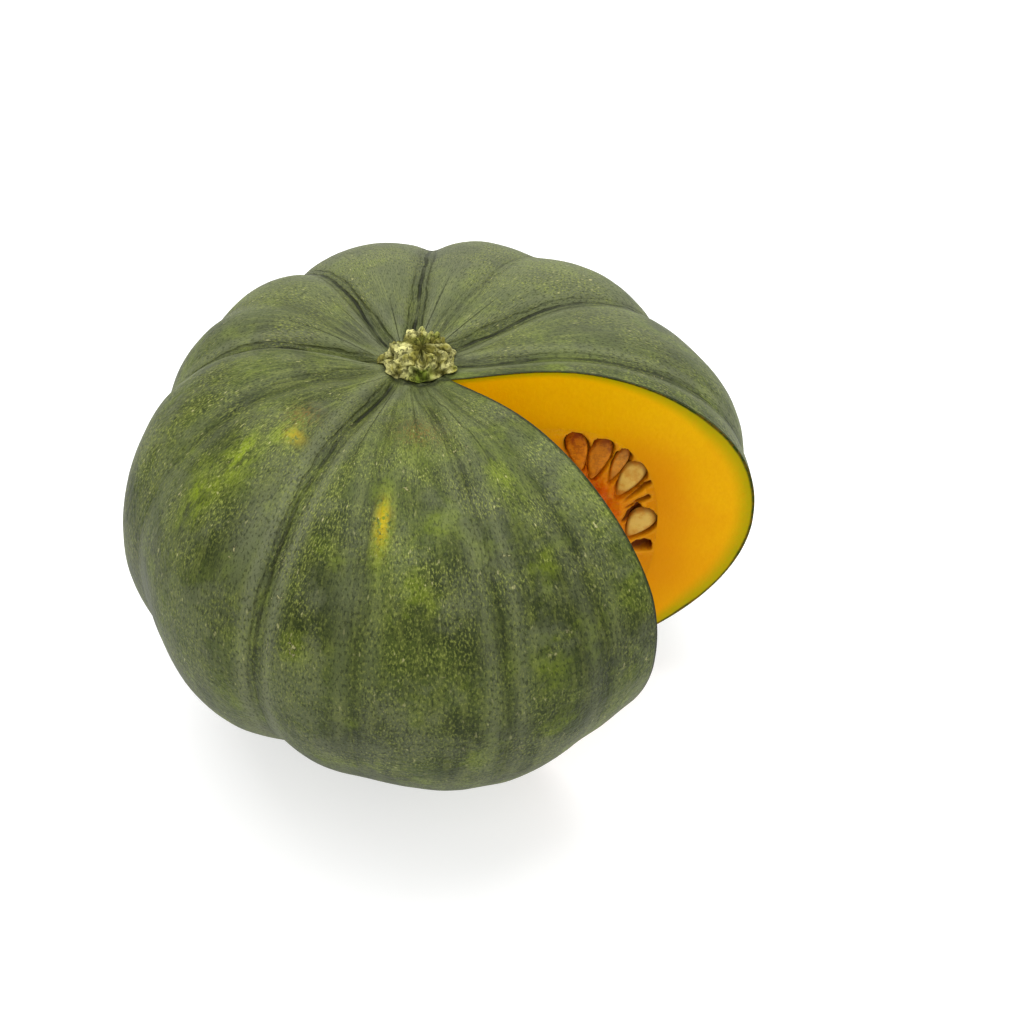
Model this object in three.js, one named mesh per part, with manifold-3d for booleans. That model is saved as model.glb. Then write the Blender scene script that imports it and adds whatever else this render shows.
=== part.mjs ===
// A kabocha squash with one wedge cut out of it, at its real size, in millimetres, +Z up.
// The fruit wall (rind and flesh) is one solid with its seed cavity laid open by the two cut faces.
// A corky stem stub sits in the hollow of the crown, and six strips of pulp hold the seeds
// inside the cavity. The origin is on the surface that the squash rests on, under the middle
// of its outline.

import * as THREE from "three";
import { mergeVertices } from "three/addons/utils/BufferGeometryUtils.js";
import Module from "manifold-3d";

const wasm = await Module();
wasm.setup();

// Fruit, measured from the middle of its core line.
const MEAN_RADIUS = 88;
const CROWN_HEIGHT = 51.3;
const BASE_DEPTH = 71;
const CROWN_FULLNESS = 2.36;
const BASE_FULLNESS = 1.9;
const STEM_HOLLOW = { depth: 13.8, width: 33.6 };
const BLOSSOM_HOLLOW = { depth: 6.5, width: 25 };
const FLAT_CUT = 2.44; // what the resting flats take off the lowest point

// Plan outline as shares of the mean radius: the core line is off centre and the plan is a little oval.
const OFF_CENTRE = [0.142, -0.056];
const OVAL = [-0.043, 0.022];
const SLUMP = 0.05; // the cut side sits lower by this share of its distance from the core line

// Ribs: one groove per row, as compass angle in degrees, depth of its wide valley and of its sharp
// crease, in millimetres.
const GROOVES = [
  [1, 2.4, 0.9],
  [35, 3.0, 1.3],
  [61, 1.8, 0.5],
  [86, 2.6, 1.3],
  [122, 2.6, 1.1],
  [150, 1.3, 0.3],
  [176, 3.0, 1.2],
  [213, 1.9, 0.4],
  [248, 3.2, 1.4],
  [265, 1.2, 0.4],
  [287, 2.1, 0.6],
  [303, 1.6, 0.4],
];
// Places where a lobe is fuller or flatter than the rest: compass angle, height above the waist and
// below it in millimetres, width in degrees.
const SWELLS = [
  [22, -2.2, -0.6, 11],
  [172, -0.8, -1.6, 9],
  [203, 0.8, 2.8, 10],
  [287, 0.8, 3.8, 11],
  [315, 0, -3.6, 10],
];
// Widths in degrees. Both forms fade in over a share of the waist's radius, from the core line out.
const VALLEY = { width: 9, from: 0, over: 0.35, deeperBelow: 0.35 };
const CREASE = { width: 1.6, widerInwards: 1.2, from: 0.05, over: 0.15, shallowerBelow: 0.6 };
// Polar degrees at which each form starts to change towards the base, and over how many.
const CHANGE = { valley: [90, 60], crease: [95, 30], swell: [70, 40] };

// Seed cavity.
const CAVITY = { radius: 0.727, middle: -10.6, roof: 46.6, floor: 33.4, fullness: 3 };
const ROOF_DIP = { depth: 19.4, width: 39.6 };

// Wedge: its inner corner beside the stem, and the compass angles of its two faces.
const CORNER = [11.5, -8];
const BACK_FACE = -3.3;
const FRONT_FACE = -49.9;
const BEND_SPAN = 42; // degrees over which the mesh columns bend to meet a face

// Mesh: rows from crown to base, columns on the lobes and beside the grooves, in degrees.
const SKIN_ROWS = 30;
const CAP_ROWS = 2;
const CAVITY_COLUMNS = 30;
const GROOVE_BANK = 3.4;
const LOBE_STEP = 8.5;
const NEAR_POLE = 0.0001;

// Stem stub, and the knobs round it: compass angle, extra reach, extra rise, width in degrees.
const STEM = { radius: 7.9, height: 6.2, gap: 0.8, centre: [3.7, 0.4], sides: 40, rough: 0.08, middle: 0.62 };
const STEM_PROFILE = [
  { reach: 0.35, up: 0 },
  { reach: 0.75, up: 0 },
  { reach: 1.06, up: 0.02 },
  { reach: 1.08, up: 0.12 },
  { reach: 0.93, up: 0.34 },
  { reach: 0.85, up: 0.6 },
  { reach: 0.8, up: 0.86 },
  { reach: 0.64, up: 1 },
  { reach: 0.42, up: 0.92 },
  { reach: 0.2, up: 0.7 },
];
const KNOBS = [
  [30, 0.1, 0, 16],
  [90, 0.08, 0.12, 40],
  [178, 0.34, -0.05, 15],
  [216, 0.24, -0.15, 13],
  [270, 0, -0.4, 26],
  [336, 0.18, 0.1, 15],
];

// Pulp strips: each stands at a compass angle, or just behind a cut face.
const STRIP = { inner: 34, bow: 18, thickness: 4, low: -46, high: 24, sides: 8, steps: 11 };
const STRIP_SWELL = { ends: 0.72, middle: 0.28, knobs: 0.1, knobStep: 2.4, flatness: 1.15 };
// The pulp between a strip and the wall.
const BED = { thickness: 4.4, reach: 82, spread: 10, steps: 8, aside: 0.4 };
const STRIP_ANGLES = [58, 112, 168, 232];
const FACE_OFFSET = 6.5;
const LAYER = 2.7; // from a strip's middle to each layer of seeds
const WALL_GAP = 0.7; // from the pulp to the cavity wall
const ROOM = { columns: 36, rows: 30 };
const SEED = { length: 16, width: 8.4, thickness: 3.4, waist: 0.56, plump: 0.82, taper: 0.36 };
const SEED_CHANCE = { smallest: 0.9, growth: 0.14, turn: 0.16, roll: 0.7 };
const SEED_ROWS = 7;
const SEED_SPREAD = [0.24, 0.82]; // where the lowest and highest seeds stand along the strip
const FAN = [-50, 102]; // degrees above the outward direction of the lowest and highest seed
const SEED_SIDES = 8;

const DEGREE = Math.PI / 180;
const cornerRadius = Math.hypot(...CORNER);
const cornerAngle = Math.atan2(CORNER[1], CORNER[0]);

function clamp01(x) {
  return Math.min(1, Math.max(0, x));
}

function bell(x, width) {
  return Math.exp(-((x / width) ** 2));
}

// 0 before from, 1 after from + over, and a straight rise between.
function ramp(x, from, over) {
  return clamp01((x - from) / over);
}

function degreesBetween(a, b) {
  return ((((a - b + 180) % 360) + 360) % 360) - 180;
}

// The same sequence each run, for the small differences between seeds.
function makeRandom(seed) {
  let state = seed;
  return () => {
    state = (Math.imul(state, 1664525) + 1013904223) >>> 0;
    return state / 4294967296;
  };
}

// How far the skin sinks below the smooth form at an angle, in millimetres. share is the distance
// from the core line over the waist's, and polar runs from 0 at the crown to PI at the base.
function grooveDepth(angle, share, polar) {
  const [degrees, down] = [angle / DEGREE, polar / DEGREE];
  const creaseWidth = CREASE.width + CREASE.widerInwards / Math.max(share, 0.12);
  const valleyShare = ramp(share, VALLEY.from, VALLEY.over);
  const valleyHere = valleyShare * (1 + VALLEY.deeperBelow * ramp(down, ...CHANGE.valley));
  const creaseShare = ramp(share, CREASE.from, CREASE.over);
  const creaseHere = creaseShare * (1 - CREASE.shallowerBelow * ramp(down, ...CHANGE.crease));
  const below = ramp(down, ...CHANGE.swell);
  let depth = 0;
  for (const [at, valley, crease] of GROOVES) {
    const away = degreesBetween(degrees, at);
    depth += valley * bell(away, VALLEY.width) * valleyHere;
    depth += crease * bell(away, creaseWidth) * creaseHere;
  }
  for (const [at, aboveWaist, belowWaist, width] of SWELLS) {
    const height = THREE.MathUtils.lerp(aboveWaist, belowWaist, below);
    depth -= height * bell(degreesBetween(degrees, at), width) * valleyShare;
  }
  return depth;
}

function planFactor(angle) {
  return (
    1 +
    OFF_CENTRE[0] * Math.cos(angle) +
    OFF_CENTRE[1] * Math.sin(angle) +
    OVAL[0] * Math.cos(2 * angle) +
    OVAL[1] * Math.sin(2 * angle)
  );
}

// The fruit leans a little towards the cut.
function settle([x, y, z]) {
  const lift = clamp01((z + BASE_DEPTH) / BASE_DEPTH);
  return [x + SLUMP * z, y, z - SLUMP * x * lift];
}

// A point of the skin, before it settles.
function skin(angle, polar) {
  const [s, c] = [Math.sin(polar), Math.cos(polar)];
  const upper = c >= 0;
  const power = 2 / (upper ? CROWN_FULLNESS : BASE_FULLNESS);
  const height = upper ? CROWN_HEIGHT : BASE_DEPTH;
  const share = Math.abs(s) ** power;
  const flat = share * MEAN_RADIUS;
  let z = height * Math.sign(c) * Math.abs(c) ** power;
  z += upper
    ? -STEM_HOLLOW.depth * bell(flat, STEM_HOLLOW.width)
    : BLOSSOM_HOLLOW.depth * bell(flat, BLOSSOM_HOLLOW.width);
  const normal = new THREE.Vector2(height * s, MEAN_RADIUS * c).normalize();
  const sink = grooveDepth(angle, share, polar);
  const r = flat * planFactor(angle) - sink * normal.x;
  return [r * Math.cos(angle), r * Math.sin(angle), z - sink * normal.y];
}

// A point of the cavity wall, before it settles.
function cavity(angle, polar) {
  const [s, c] = [Math.sin(polar), Math.cos(polar)];
  const power = 2 / CAVITY.fullness;
  const r = Math.abs(s) ** power * CAVITY.radius * MEAN_RADIUS * planFactor(angle);
  const height = c >= 0 ? CAVITY.roof : CAVITY.floor;
  const dip = c >= 0 ? ROOF_DIP.depth * bell(r, ROOF_DIP.width) : 0;
  const z = CAVITY.middle + height * Math.sign(c) * Math.abs(c) ** power - dip;
  return [r * Math.cos(angle), r * Math.sin(angle), z];
}

// Compass angle at which a cut face stands at distance r from the core line.
function faceAngle(faceDegrees, r) {
  const face = faceDegrees * DEGREE;
  const offset = CORNER[0] * Math.sin(face) - CORNER[1] * Math.cos(face);
  return face - Math.asin(THREE.MathUtils.clamp(offset / Math.max(r, cornerRadius), -1, 1));
}

// A point of a surface on one mesh column. Columns near a cut face bend with it towards the
// corner beside the stem, so that the first and last columns lie in the faces.
const bendSpan = BEND_SPAN * DEGREE;
const startAngle = faceAngle(BACK_FACE, MEAN_RADIUS);
const endAngle = faceAngle(FRONT_FACE, MEAN_RADIUS) + 2 * Math.PI;

function onColumn(surface, column, polar) {
  const nearStart = clamp01(1 - (column - startAngle) / bendSpan) ** 1.5;
  const nearEnd = clamp01(1 - (endAngle - column) / bendSpan) ** 1.5;
  let point = surface(column, polar);
  for (let step = 0; step < 5; step++) {
    const r = Math.hypot(point[0], point[1]);
    const back = faceAngle(BACK_FACE, r) - startAngle;
    const front = faceAngle(FRONT_FACE, r) + 2 * Math.PI - endAngle;
    point = surface(column + back * nearStart + front * nearEnd, polar);
  }
  return point;
}

// The polar angle at which a surface stands as far from the core line as the wedge's corner.
function cornerPolar(surface, from, to) {
  for (let step = 0; step < 40; step++) {
    const middle = (from + to) / 2;
    const [x, y] = surface(cornerAngle, middle);
    if (Math.hypot(x, y) < cornerRadius) from = middle;
    else to = middle;
  }
  return (from + to) / 2;
}

// Polar angles of the rows: a few inside the corner's radius, and the rest round the outside.
function rowsOf(surface, count) {
  const top = cornerPolar(surface, 0.001, Math.PI / 2);
  const bottom = cornerPolar(surface, Math.PI - 0.001, Math.PI / 2);
  const rows = [];
  for (let i = 1; i < CAP_ROWS; i++) rows.push((top * i) / CAP_ROWS);
  for (let i = 0; i <= count; i++) rows.push(top + ((bottom - top) * i) / count);
  for (let i = 1; i < CAP_ROWS; i++) rows.push(bottom + ((Math.PI - bottom) * i) / CAP_ROWS);
  return rows;
}

// Compass angles of the skin's columns: each groove's line, its two banks and the lobes between.
function skinColumns() {
  const lines = GROOVES.map(([at]) => at * DEGREE).filter((at) => at > startAngle);
  const bank = GROOVE_BANK * DEGREE;
  const columns = [startAngle];
  lines.forEach((line, i) => {
    columns.push(line);
    if (i > 0) columns.push(line - bank);
    columns.push(line + bank);
    const next = i + 1 < lines.length ? lines[i + 1] - bank : endAngle;
    const span = next - line - bank;
    const parts = Math.max(1, Math.round(span / (LOBE_STEP * DEGREE)));
    for (let k = 1; k < parts; k++) columns.push(line + bank + (span * k) / parts);
  });
  columns.push(endAngle);
  return columns.sort((a, b) => a - b);
}

function evenColumns(count) {
  return Array.from({ length: count + 1 }, (_, i) => startAngle + ((endAngle - startAngle) * i) / count);
}

function meshOf(triangles) {
  const geometry = new THREE.BufferGeometry();
  geometry.setAttribute("position", new THREE.Float32BufferAttribute(triangles.flat(2), 3));
  const merged = mergeVertices(geometry, 1e-3);
  const kept = [];
  const index = merged.index.array;
  for (let i = 0; i < index.length; i += 3) {
    const [a, b, c] = index.slice(i, i + 3);
    if (a !== b && b !== c && a !== c) kept.push(a, b, c);
  }
  merged.setIndex(kept);
  return merged;
}

function solidOf(geometry) {
  return new wasm.Manifold(
    new wasm.Mesh({
      numProp: 3,
      vertProperties: geometry.getAttribute("position").array,
      triVerts: new Uint32Array(geometry.index.array),
    }),
  );
}

function geometryOf(solid) {
  const { numProp, vertProperties, triVerts } = solid.getMesh();
  const positions = new Float32Array((vertProperties.length / numProp) * 3);
  for (let i = 0; i < positions.length / 3; i++) {
    positions.set(vertProperties.subarray(i * numProp, i * numProp + 3), i * 3);
  }
  const geometry = new THREE.BufferGeometry();
  geometry.setAttribute("position", new THREE.BufferAttribute(positions, 3));
  geometry.setIndex(new THREE.BufferAttribute(triVerts, 1));
  return geometry;
}

function quad(list, a, b, c, d) {
  list.push([a, b, c], [a, c, d]);
}

// One closed wall or lid of a surface, as rows of points with a pole at each end.
function sheet(surface, columns, polars, place) {
  const poles = [surface(0, NEAR_POLE), surface(0, Math.PI - NEAR_POLE)].map(([, , z]) => place([0, 0, z]));
  const rows = polars.map((polar) => columns.map((column) => place(onColumn(surface, column, polar))));
  return { rows, poles };
}

// The rows of a sheet as triangles facing away from the core line.
function sheetTriangles({ rows, poles }) {
  const triangles = [];
  const last = rows.length - 1;
  for (let j = 0; j + 1 < rows[0].length; j++) {
    triangles.push([poles[0], rows[0][j], rows[0][j + 1]]);
    triangles.push([poles[1], rows[last][j + 1], rows[last][j]]);
    for (let i = 0; i < last; i++) {
      quad(triangles, rows[i][j], rows[i + 1][j], rows[i + 1][j + 1], rows[i][j + 1]);
    }
  }
  return triangles;
}

// The lowest point of the underside, looked for a degree at a time from the base upwards.
function lowestHeight() {
  let lowest = Infinity;
  for (let down = 180; down > 110; down--) {
    for (let degrees = 0; degrees < 360; degrees += 5) {
      lowest = Math.min(lowest, settle(skin(degrees * DEGREE, down * DEGREE))[2]);
    }
  }
  return lowest;
}
const floorLevel = lowestHeight() + FLAT_CUT;

function onFloor(point) {
  const [x, y, z] = settle(point);
  return [x, y, Math.max(z, floorLevel)];
}

function buildFruit() {
  const outside = sheet(skin, skinColumns(), rowsOf(skin, SKIN_ROWS), onFloor);
  const inside = sheet(cavity, evenColumns(CAVITY_COLUMNS), rowsOf(cavity, SKIN_ROWS), settle);
  const triangles = sheetTriangles(outside);
  for (const [a, b, c] of sheetTriangles(inside)) triangles.push([a, c, b]);
  const first = CAP_ROWS - 1;
  for (let i = first; i < first + SKIN_ROWS; i++) {
    const [outer, outerNext] = [outside.rows[i], outside.rows[i + 1]];
    const [inner, innerNext] = [inside.rows[i], inside.rows[i + 1]];
    quad(triangles, outer[0], inner[0], innerNext[0], outerNext[0]);
    quad(triangles, outer.at(-1), outerNext.at(-1), innerNext.at(-1), inner.at(-1));
  }
  return meshOf(triangles);
}

// A knobbly corky stub that flares onto the crown, with a sunken, broken-off middle.
function buildStem() {
  const { sides } = STEM;
  const random = makeRandom(7);
  const roughness = Array.from({ length: sides }, () => random());
  const seat = (x, y) => {
    const angle = Math.atan2(y, x);
    const share = Math.hypot(x, y) / planFactor(angle) / MEAN_RADIUS;
    return skin(angle, Math.asin(share ** (CROWN_FULLNESS / 2)))[2] + STEM.gap;
  };
  const [centreX, centreY] = STEM.centre;
  const middle = seat(centreX, centreY);
  const point = (row, side) => {
    const { reach, up } = STEM_PROFILE[row];
    const angle = (side / sides) * 2 * Math.PI;
    const rough = STEM.rough * (roughness[(side + row * 7) % sides] - 0.5);
    let [wide, tall] = [1 + rough, 1 + 2 * rough];
    for (const [at, extraReach, extraRise, width] of KNOBS) {
      const near = bell(degreesBetween(angle / DEGREE, at), width);
      wide += extraReach * near * Math.min(1, reach);
      tall += extraRise * near;
    }
    const r = STEM.radius * reach * wide;
    const [x, y] = [centreX + r * Math.cos(angle), centreY + r * Math.sin(angle)];
    const rise = STEM.height * up * tall;
    return settle([x, y, seat(x, y) * (1 - up) + middle * up + rise]);
  };
  const triangles = [];
  const bottom = settle([centreX, centreY, middle]);
  const top = settle([centreX, centreY, middle + STEM.height * STEM.middle]);
  const last = STEM_PROFILE.length - 1;
  for (let side = 0; side < sides; side++) {
    const next = (side + 1) % sides;
    triangles.push([bottom, point(0, next), point(0, side)]);
    triangles.push([top, point(last, side), point(last, next)]);
    for (let row = 0; row < last; row++) {
      quad(triangles, point(row, side), point(row, next), point(row + 1, next), point(row + 1, side));
    }
  }
  return meshOf(triangles);
}

// The middle line of a pulp strip in its own upright plane, from the cavity's floor to its roof.
function stripLine(share) {
  const z = STRIP.low + (STRIP.high - STRIP.low) * share;
  return new THREE.Vector2(STRIP.inner + STRIP.bow * Math.sin(Math.PI * share) ** 0.8, z);
}

// Rings of points, one above the other, as a closed solid.
function tubeOf(rings) {
  const triangles = [];
  const sides = rings[0].length;
  const middleOf = (ring) => [0, 1, 2].map((i) => ring.reduce((sum, point) => sum + point[i], 0) / sides);
  for (let k = 0; k < sides; k++) {
    const next = (k + 1) % sides;
    triangles.push([middleOf(rings[0]), rings[0][next], rings[0][k]]);
    triangles.push([middleOf(rings.at(-1)), rings.at(-1)[k], rings.at(-1)[next]]);
    for (let i = 0; i + 1 < rings.length; i++) {
      quad(triangles, rings[i][k], rings[i][next], rings[i + 1][next], rings[i + 1][k]);
    }
  }
  return solidOf(meshOf(triangles));
}

// A strip of pulp as a knobbly tube. place turns a point along, across and up its plane into space.
function buildStrip(place) {
  const { sides, steps } = STRIP;
  const { ends, middle, knobs, knobStep, flatness } = STRIP_SWELL;
  const ring = (step) => {
    const share = step / steps;
    const centre = stripLine(share);
    const ahead = stripLine(Math.min(1, share + 0.02)).sub(stripLine(Math.max(0, share - 0.02))).normalize();
    const swell = ends + middle * Math.sin(Math.PI * share) + knobs * Math.sin(step * knobStep);
    const thick = STRIP.thickness * swell;
    return Array.from({ length: sides }, (_, k) => {
      const turn = (k / sides) * 2 * Math.PI;
      const out = thick * Math.cos(turn);
      return place(centre.x + out * ahead.y, flatness * thick * Math.sin(turn), centre.y - out * ahead.x);
    });
  };
  return tubeOf(Array.from({ length: steps + 1 }, (_, step) => ring(step)));
}

// The pulp that fills the plane from the strip out to the cavity wall.
function buildBed(place, across) {
  const { steps } = BED;
  const half = BED.thickness / 2;
  const ring = (step) => {
    const share = step / steps;
    const { x, y } = stripLine(share);
    const far = y + THREE.MathUtils.lerp(-BED.spread, BED.spread, share);
    return [place(x, across + half, y), place(x, across - half, y),
      place(BED.reach, across - half, far), place(BED.reach, across + half, far)];
  };
  return tubeOf(Array.from({ length: steps + 1 }, (_, step) => ring(step)));
}

// A seed as a flat drop: its point at the root, its round end outwards.
function buildSeed(place, root, tilt, across, size, roll) {
  const middle = new THREE.Vector2(Math.cos(tilt), Math.sin(tilt));
  const beside = new THREE.Vector2(-middle.y, middle.x);
  const at = (along, wide, thick) => {
    const flat = wide * Math.cos(roll) - thick * Math.sin(roll);
    const side = wide * Math.sin(roll) + thick * Math.cos(roll);
    return place(
      root.x + along * middle.x + flat * beside.x,
      across + side,
      root.y + along * middle.y + flat * beside.y,
    );
  };
  const rim = Array.from({ length: SEED_SIDES }, (_, k) => {
    const turn = (k / SEED_SIDES) * 2 * Math.PI;
    const along = (0.5 - 0.5 * Math.cos(turn)) * SEED.length * size;
    const plump = Math.sin(turn) * (SEED.plump - SEED.taper * Math.cos(turn));
    return at(along, (SEED.width / 2) * size * plump, 0);
  });
  const waist = SEED.waist * SEED.length * size;
  const faces = [-1, 1].map((side) => at(waist, 0, (side * SEED.thickness * size) / 2));
  const triangles = [];
  for (let k = 0; k < SEED_SIDES; k++) {
    const next = (k + 1) % SEED_SIDES;
    triangles.push([faces[0], rim[next], rim[k]], [faces[1], rim[k], rim[next]]);
  }
  return solidOf(meshOf(triangles));
}

// The space inside the cavity wall, less a gap.
function buildRoom() {
  const shrunk = (angle, polar) => {
    const [x, y, z] = cavity(angle, polar);
    const inward = WALL_GAP * Math.sin(polar);
    return [x - inward * Math.cos(angle), y - inward * Math.sin(angle), z - WALL_GAP * Math.cos(polar)];
  };
  const around = Array.from({ length: ROOM.columns + 1 }, (_, i) => (i / ROOM.columns) * 2 * Math.PI);
  const polars = Array.from({ length: ROOM.rows - 1 }, (_, i) => ((i + 1) / ROOM.rows) * Math.PI);
  const rows = polars.map((polar) => around.map((angle) => settle(shrunk(angle, polar))));
  const poles = [0, Math.PI].map((polar) => settle(shrunk(0, polar)));
  return solidOf(meshOf(sheetTriangles({ rows, poles })));
}
const insideWall = buildRoom();

// A pulp strip with its seeds fanned outwards from it in two layers.
function buildBundle(plane, seed) {
  const random = makeRandom(seed);
  const facing = new THREE.Vector2(Math.cos(plane.angle), Math.sin(plane.angle));
  const room = planFactor(plane.angle);
  const place = (along, across, up) => {
    const side = plane.middle + across;
    const out = along * room;
    return settle([out * facing.x - side * facing.y, out * facing.y + side * facing.x, up]);
  };
  const parts = [buildStrip(place), buildBed(place, plane.bed)];
  for (let row = 0; row < SEED_ROWS; row++) {
    const step = row / (SEED_ROWS - 1);
    const share = THREE.MathUtils.lerp(...SEED_SPREAD, step);
    const tilt = THREE.MathUtils.lerp(...FAN, step) * DEGREE;
    for (const layer of plane.layers) {
      const size = (SEED_CHANCE.smallest + SEED_CHANCE.growth * random()) * Math.min(1, room);
      const turn = tilt + (random() - 0.5) * SEED_CHANCE.turn;
      const roll = (random() - 0.5) * SEED_CHANCE.roll;
      parts.push(buildSeed(place, stripLine(share), turn, layer, size, roll));
    }
  }
  return geometryOf(wasm.Manifold.union(parts).intersect(insideWall));
}

function faceOffset(faceDegrees) {
  const face = faceDegrees * DEGREE;
  return -(CORNER[0] * Math.sin(face) - CORNER[1] * Math.cos(face));
}

// One plane behind each cut face, and the others between them.
function planeAt(faceDegrees, side) {
  const angle = faceDegrees * DEGREE;
  const middle = faceOffset(faceDegrees) + side * FACE_OFFSET;
  return { angle, middle, layers: [-side * LAYER, side * LAYER], bed: -side * BED.aside };
}

const PLANES = [
  planeAt(BACK_FACE, 1),
  ...STRIP_ANGLES.map((at) => ({ angle: at * DEGREE, middle: 0, layers: [-LAYER, LAYER], bed: 0 })),
  planeAt(FRONT_FACE, -1),
];

const rind = new THREE.MeshStandardMaterial({ color: 0x4c5c34, roughness: 0.55, metalness: 0 });
const cork = new THREE.MeshStandardMaterial({ color: 0xa39c58, roughness: 0.9, metalness: 0 });
const pulp = new THREE.MeshStandardMaterial({ color: 0xd98a1e, roughness: 0.45, metalness: 0 });

const squash = new THREE.Group();

function addPiece(name, geometry, material) {
  const mesh = new THREE.Mesh(geometry, material);
  mesh.name = name;
  squash.add(mesh);
  return mesh;
}

const fruit = addPiece("fruit", buildFruit(), rind);
addPiece("stem", buildStem(), cork);
PLANES.forEach((plane, i) => addPiece(`pulp_with_seeds_${i + 1}`, buildBundle(plane, 11 + i), pulp));

fruit.geometry.computeBoundingBox();
const { min, max } = fruit.geometry.boundingBox;
squash.position.set(-(min.x + max.x) / 2, -(min.y + max.y) / 2, -min.z);

export default squash;
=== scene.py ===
"""A kabocha squash with one wedge cut out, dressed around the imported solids.

Lengths are in millimetres in the fruit's own frame, with its core line at x = y = 0 and its waist
at z = 0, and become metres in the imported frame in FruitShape.place.
"""
import logging
import math
import random
from collections.abc import Callable, Sequence
from dataclasses import dataclass, field, replace
from enum import Enum

import bpy
import numpy as np
from mathutils import Matrix, Vector, noise


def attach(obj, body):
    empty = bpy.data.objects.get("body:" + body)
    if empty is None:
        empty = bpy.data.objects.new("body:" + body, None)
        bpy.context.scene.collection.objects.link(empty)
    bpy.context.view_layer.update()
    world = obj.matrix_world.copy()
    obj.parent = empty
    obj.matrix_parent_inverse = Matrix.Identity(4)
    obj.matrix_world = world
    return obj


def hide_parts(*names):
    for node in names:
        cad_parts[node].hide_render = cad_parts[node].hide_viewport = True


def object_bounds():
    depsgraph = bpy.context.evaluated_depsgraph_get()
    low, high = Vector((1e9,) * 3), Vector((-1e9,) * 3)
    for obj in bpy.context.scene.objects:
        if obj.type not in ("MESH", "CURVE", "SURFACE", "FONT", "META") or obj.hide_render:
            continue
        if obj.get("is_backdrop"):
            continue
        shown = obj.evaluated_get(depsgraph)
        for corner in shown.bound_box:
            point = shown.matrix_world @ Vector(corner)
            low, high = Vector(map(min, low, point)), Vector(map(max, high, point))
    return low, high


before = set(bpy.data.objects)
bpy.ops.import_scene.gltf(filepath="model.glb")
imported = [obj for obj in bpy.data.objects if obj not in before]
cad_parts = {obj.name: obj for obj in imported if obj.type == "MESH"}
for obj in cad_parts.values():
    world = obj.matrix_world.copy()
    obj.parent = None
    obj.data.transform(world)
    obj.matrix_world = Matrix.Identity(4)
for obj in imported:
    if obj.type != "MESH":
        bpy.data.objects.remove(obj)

CAD_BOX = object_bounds()
LOG = logging.getLogger("kabocha")
MM = 0.001
CORE_MM = np.array([-10.94, 5.17, 64.38])
BODY = "root"
TURN = 2 * math.pi

Array = np.ndarray
Numbers = np.ndarray | float
Material = bpy.types.Material
Object = bpy.types.Object
Tree = bpy.types.NodeTree


class Side(Enum):
    """The two cut faces of the notch."""

    BACK = "back"
    FRONT = "front"


def bell(x: Numbers, width: Numbers) -> Numbers:
    """A smooth hump of height 1 round x = 0."""
    return np.exp(-((x / width) ** 2))


def ramp(x: Numbers, start: float, end: float) -> Numbers:
    """0 at start, 1 at end and straight between them; either may be the larger."""
    return np.clip((x - start) / (end - start), 0, 1)


def unit(vectors: Array) -> Array:
    """The same directions at a length of 1."""
    return vectors / np.maximum(np.linalg.norm(vectors, axis=-1, keepdims=True), 1e-9)


def degrees_between(a: Numbers, b: float) -> Numbers:
    """The signed angle from b to a, from -180 to 180 degrees."""
    return (a - b + 180.0) % 360.0 - 180.0


def roughness_of(points: Array, size: float, seed: int) -> Array:
    """Smooth noise from about -1 to 1 at each point.

    Args:
        points: Rows of x, y, z in millimetres.
        size: The size of the lumps in millimetres.
        seed: Shifts the noise, so that two calls differ.

    Returns:
        One value for each point.
    """
    shift = Vector((seed * 17.3, seed * 5.1, seed * 9.7))
    flat = points.reshape(-1, 3) / size
    values = [noise.noise(Vector(p) + shift) for p in flat]
    return np.array(values).reshape(points.shape[:-1])


@dataclass(frozen=True)
class Groove:
    """A groove between two ribs: compass angle in degrees, depths in millimetres."""

    at: float
    valley: float
    crease: float


@dataclass(frozen=True)
class Swell:
    """A fuller or flatter stretch of a lobe: height above and below the waist, width in degrees."""

    at: float
    above: float
    below: float
    width: float


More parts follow.
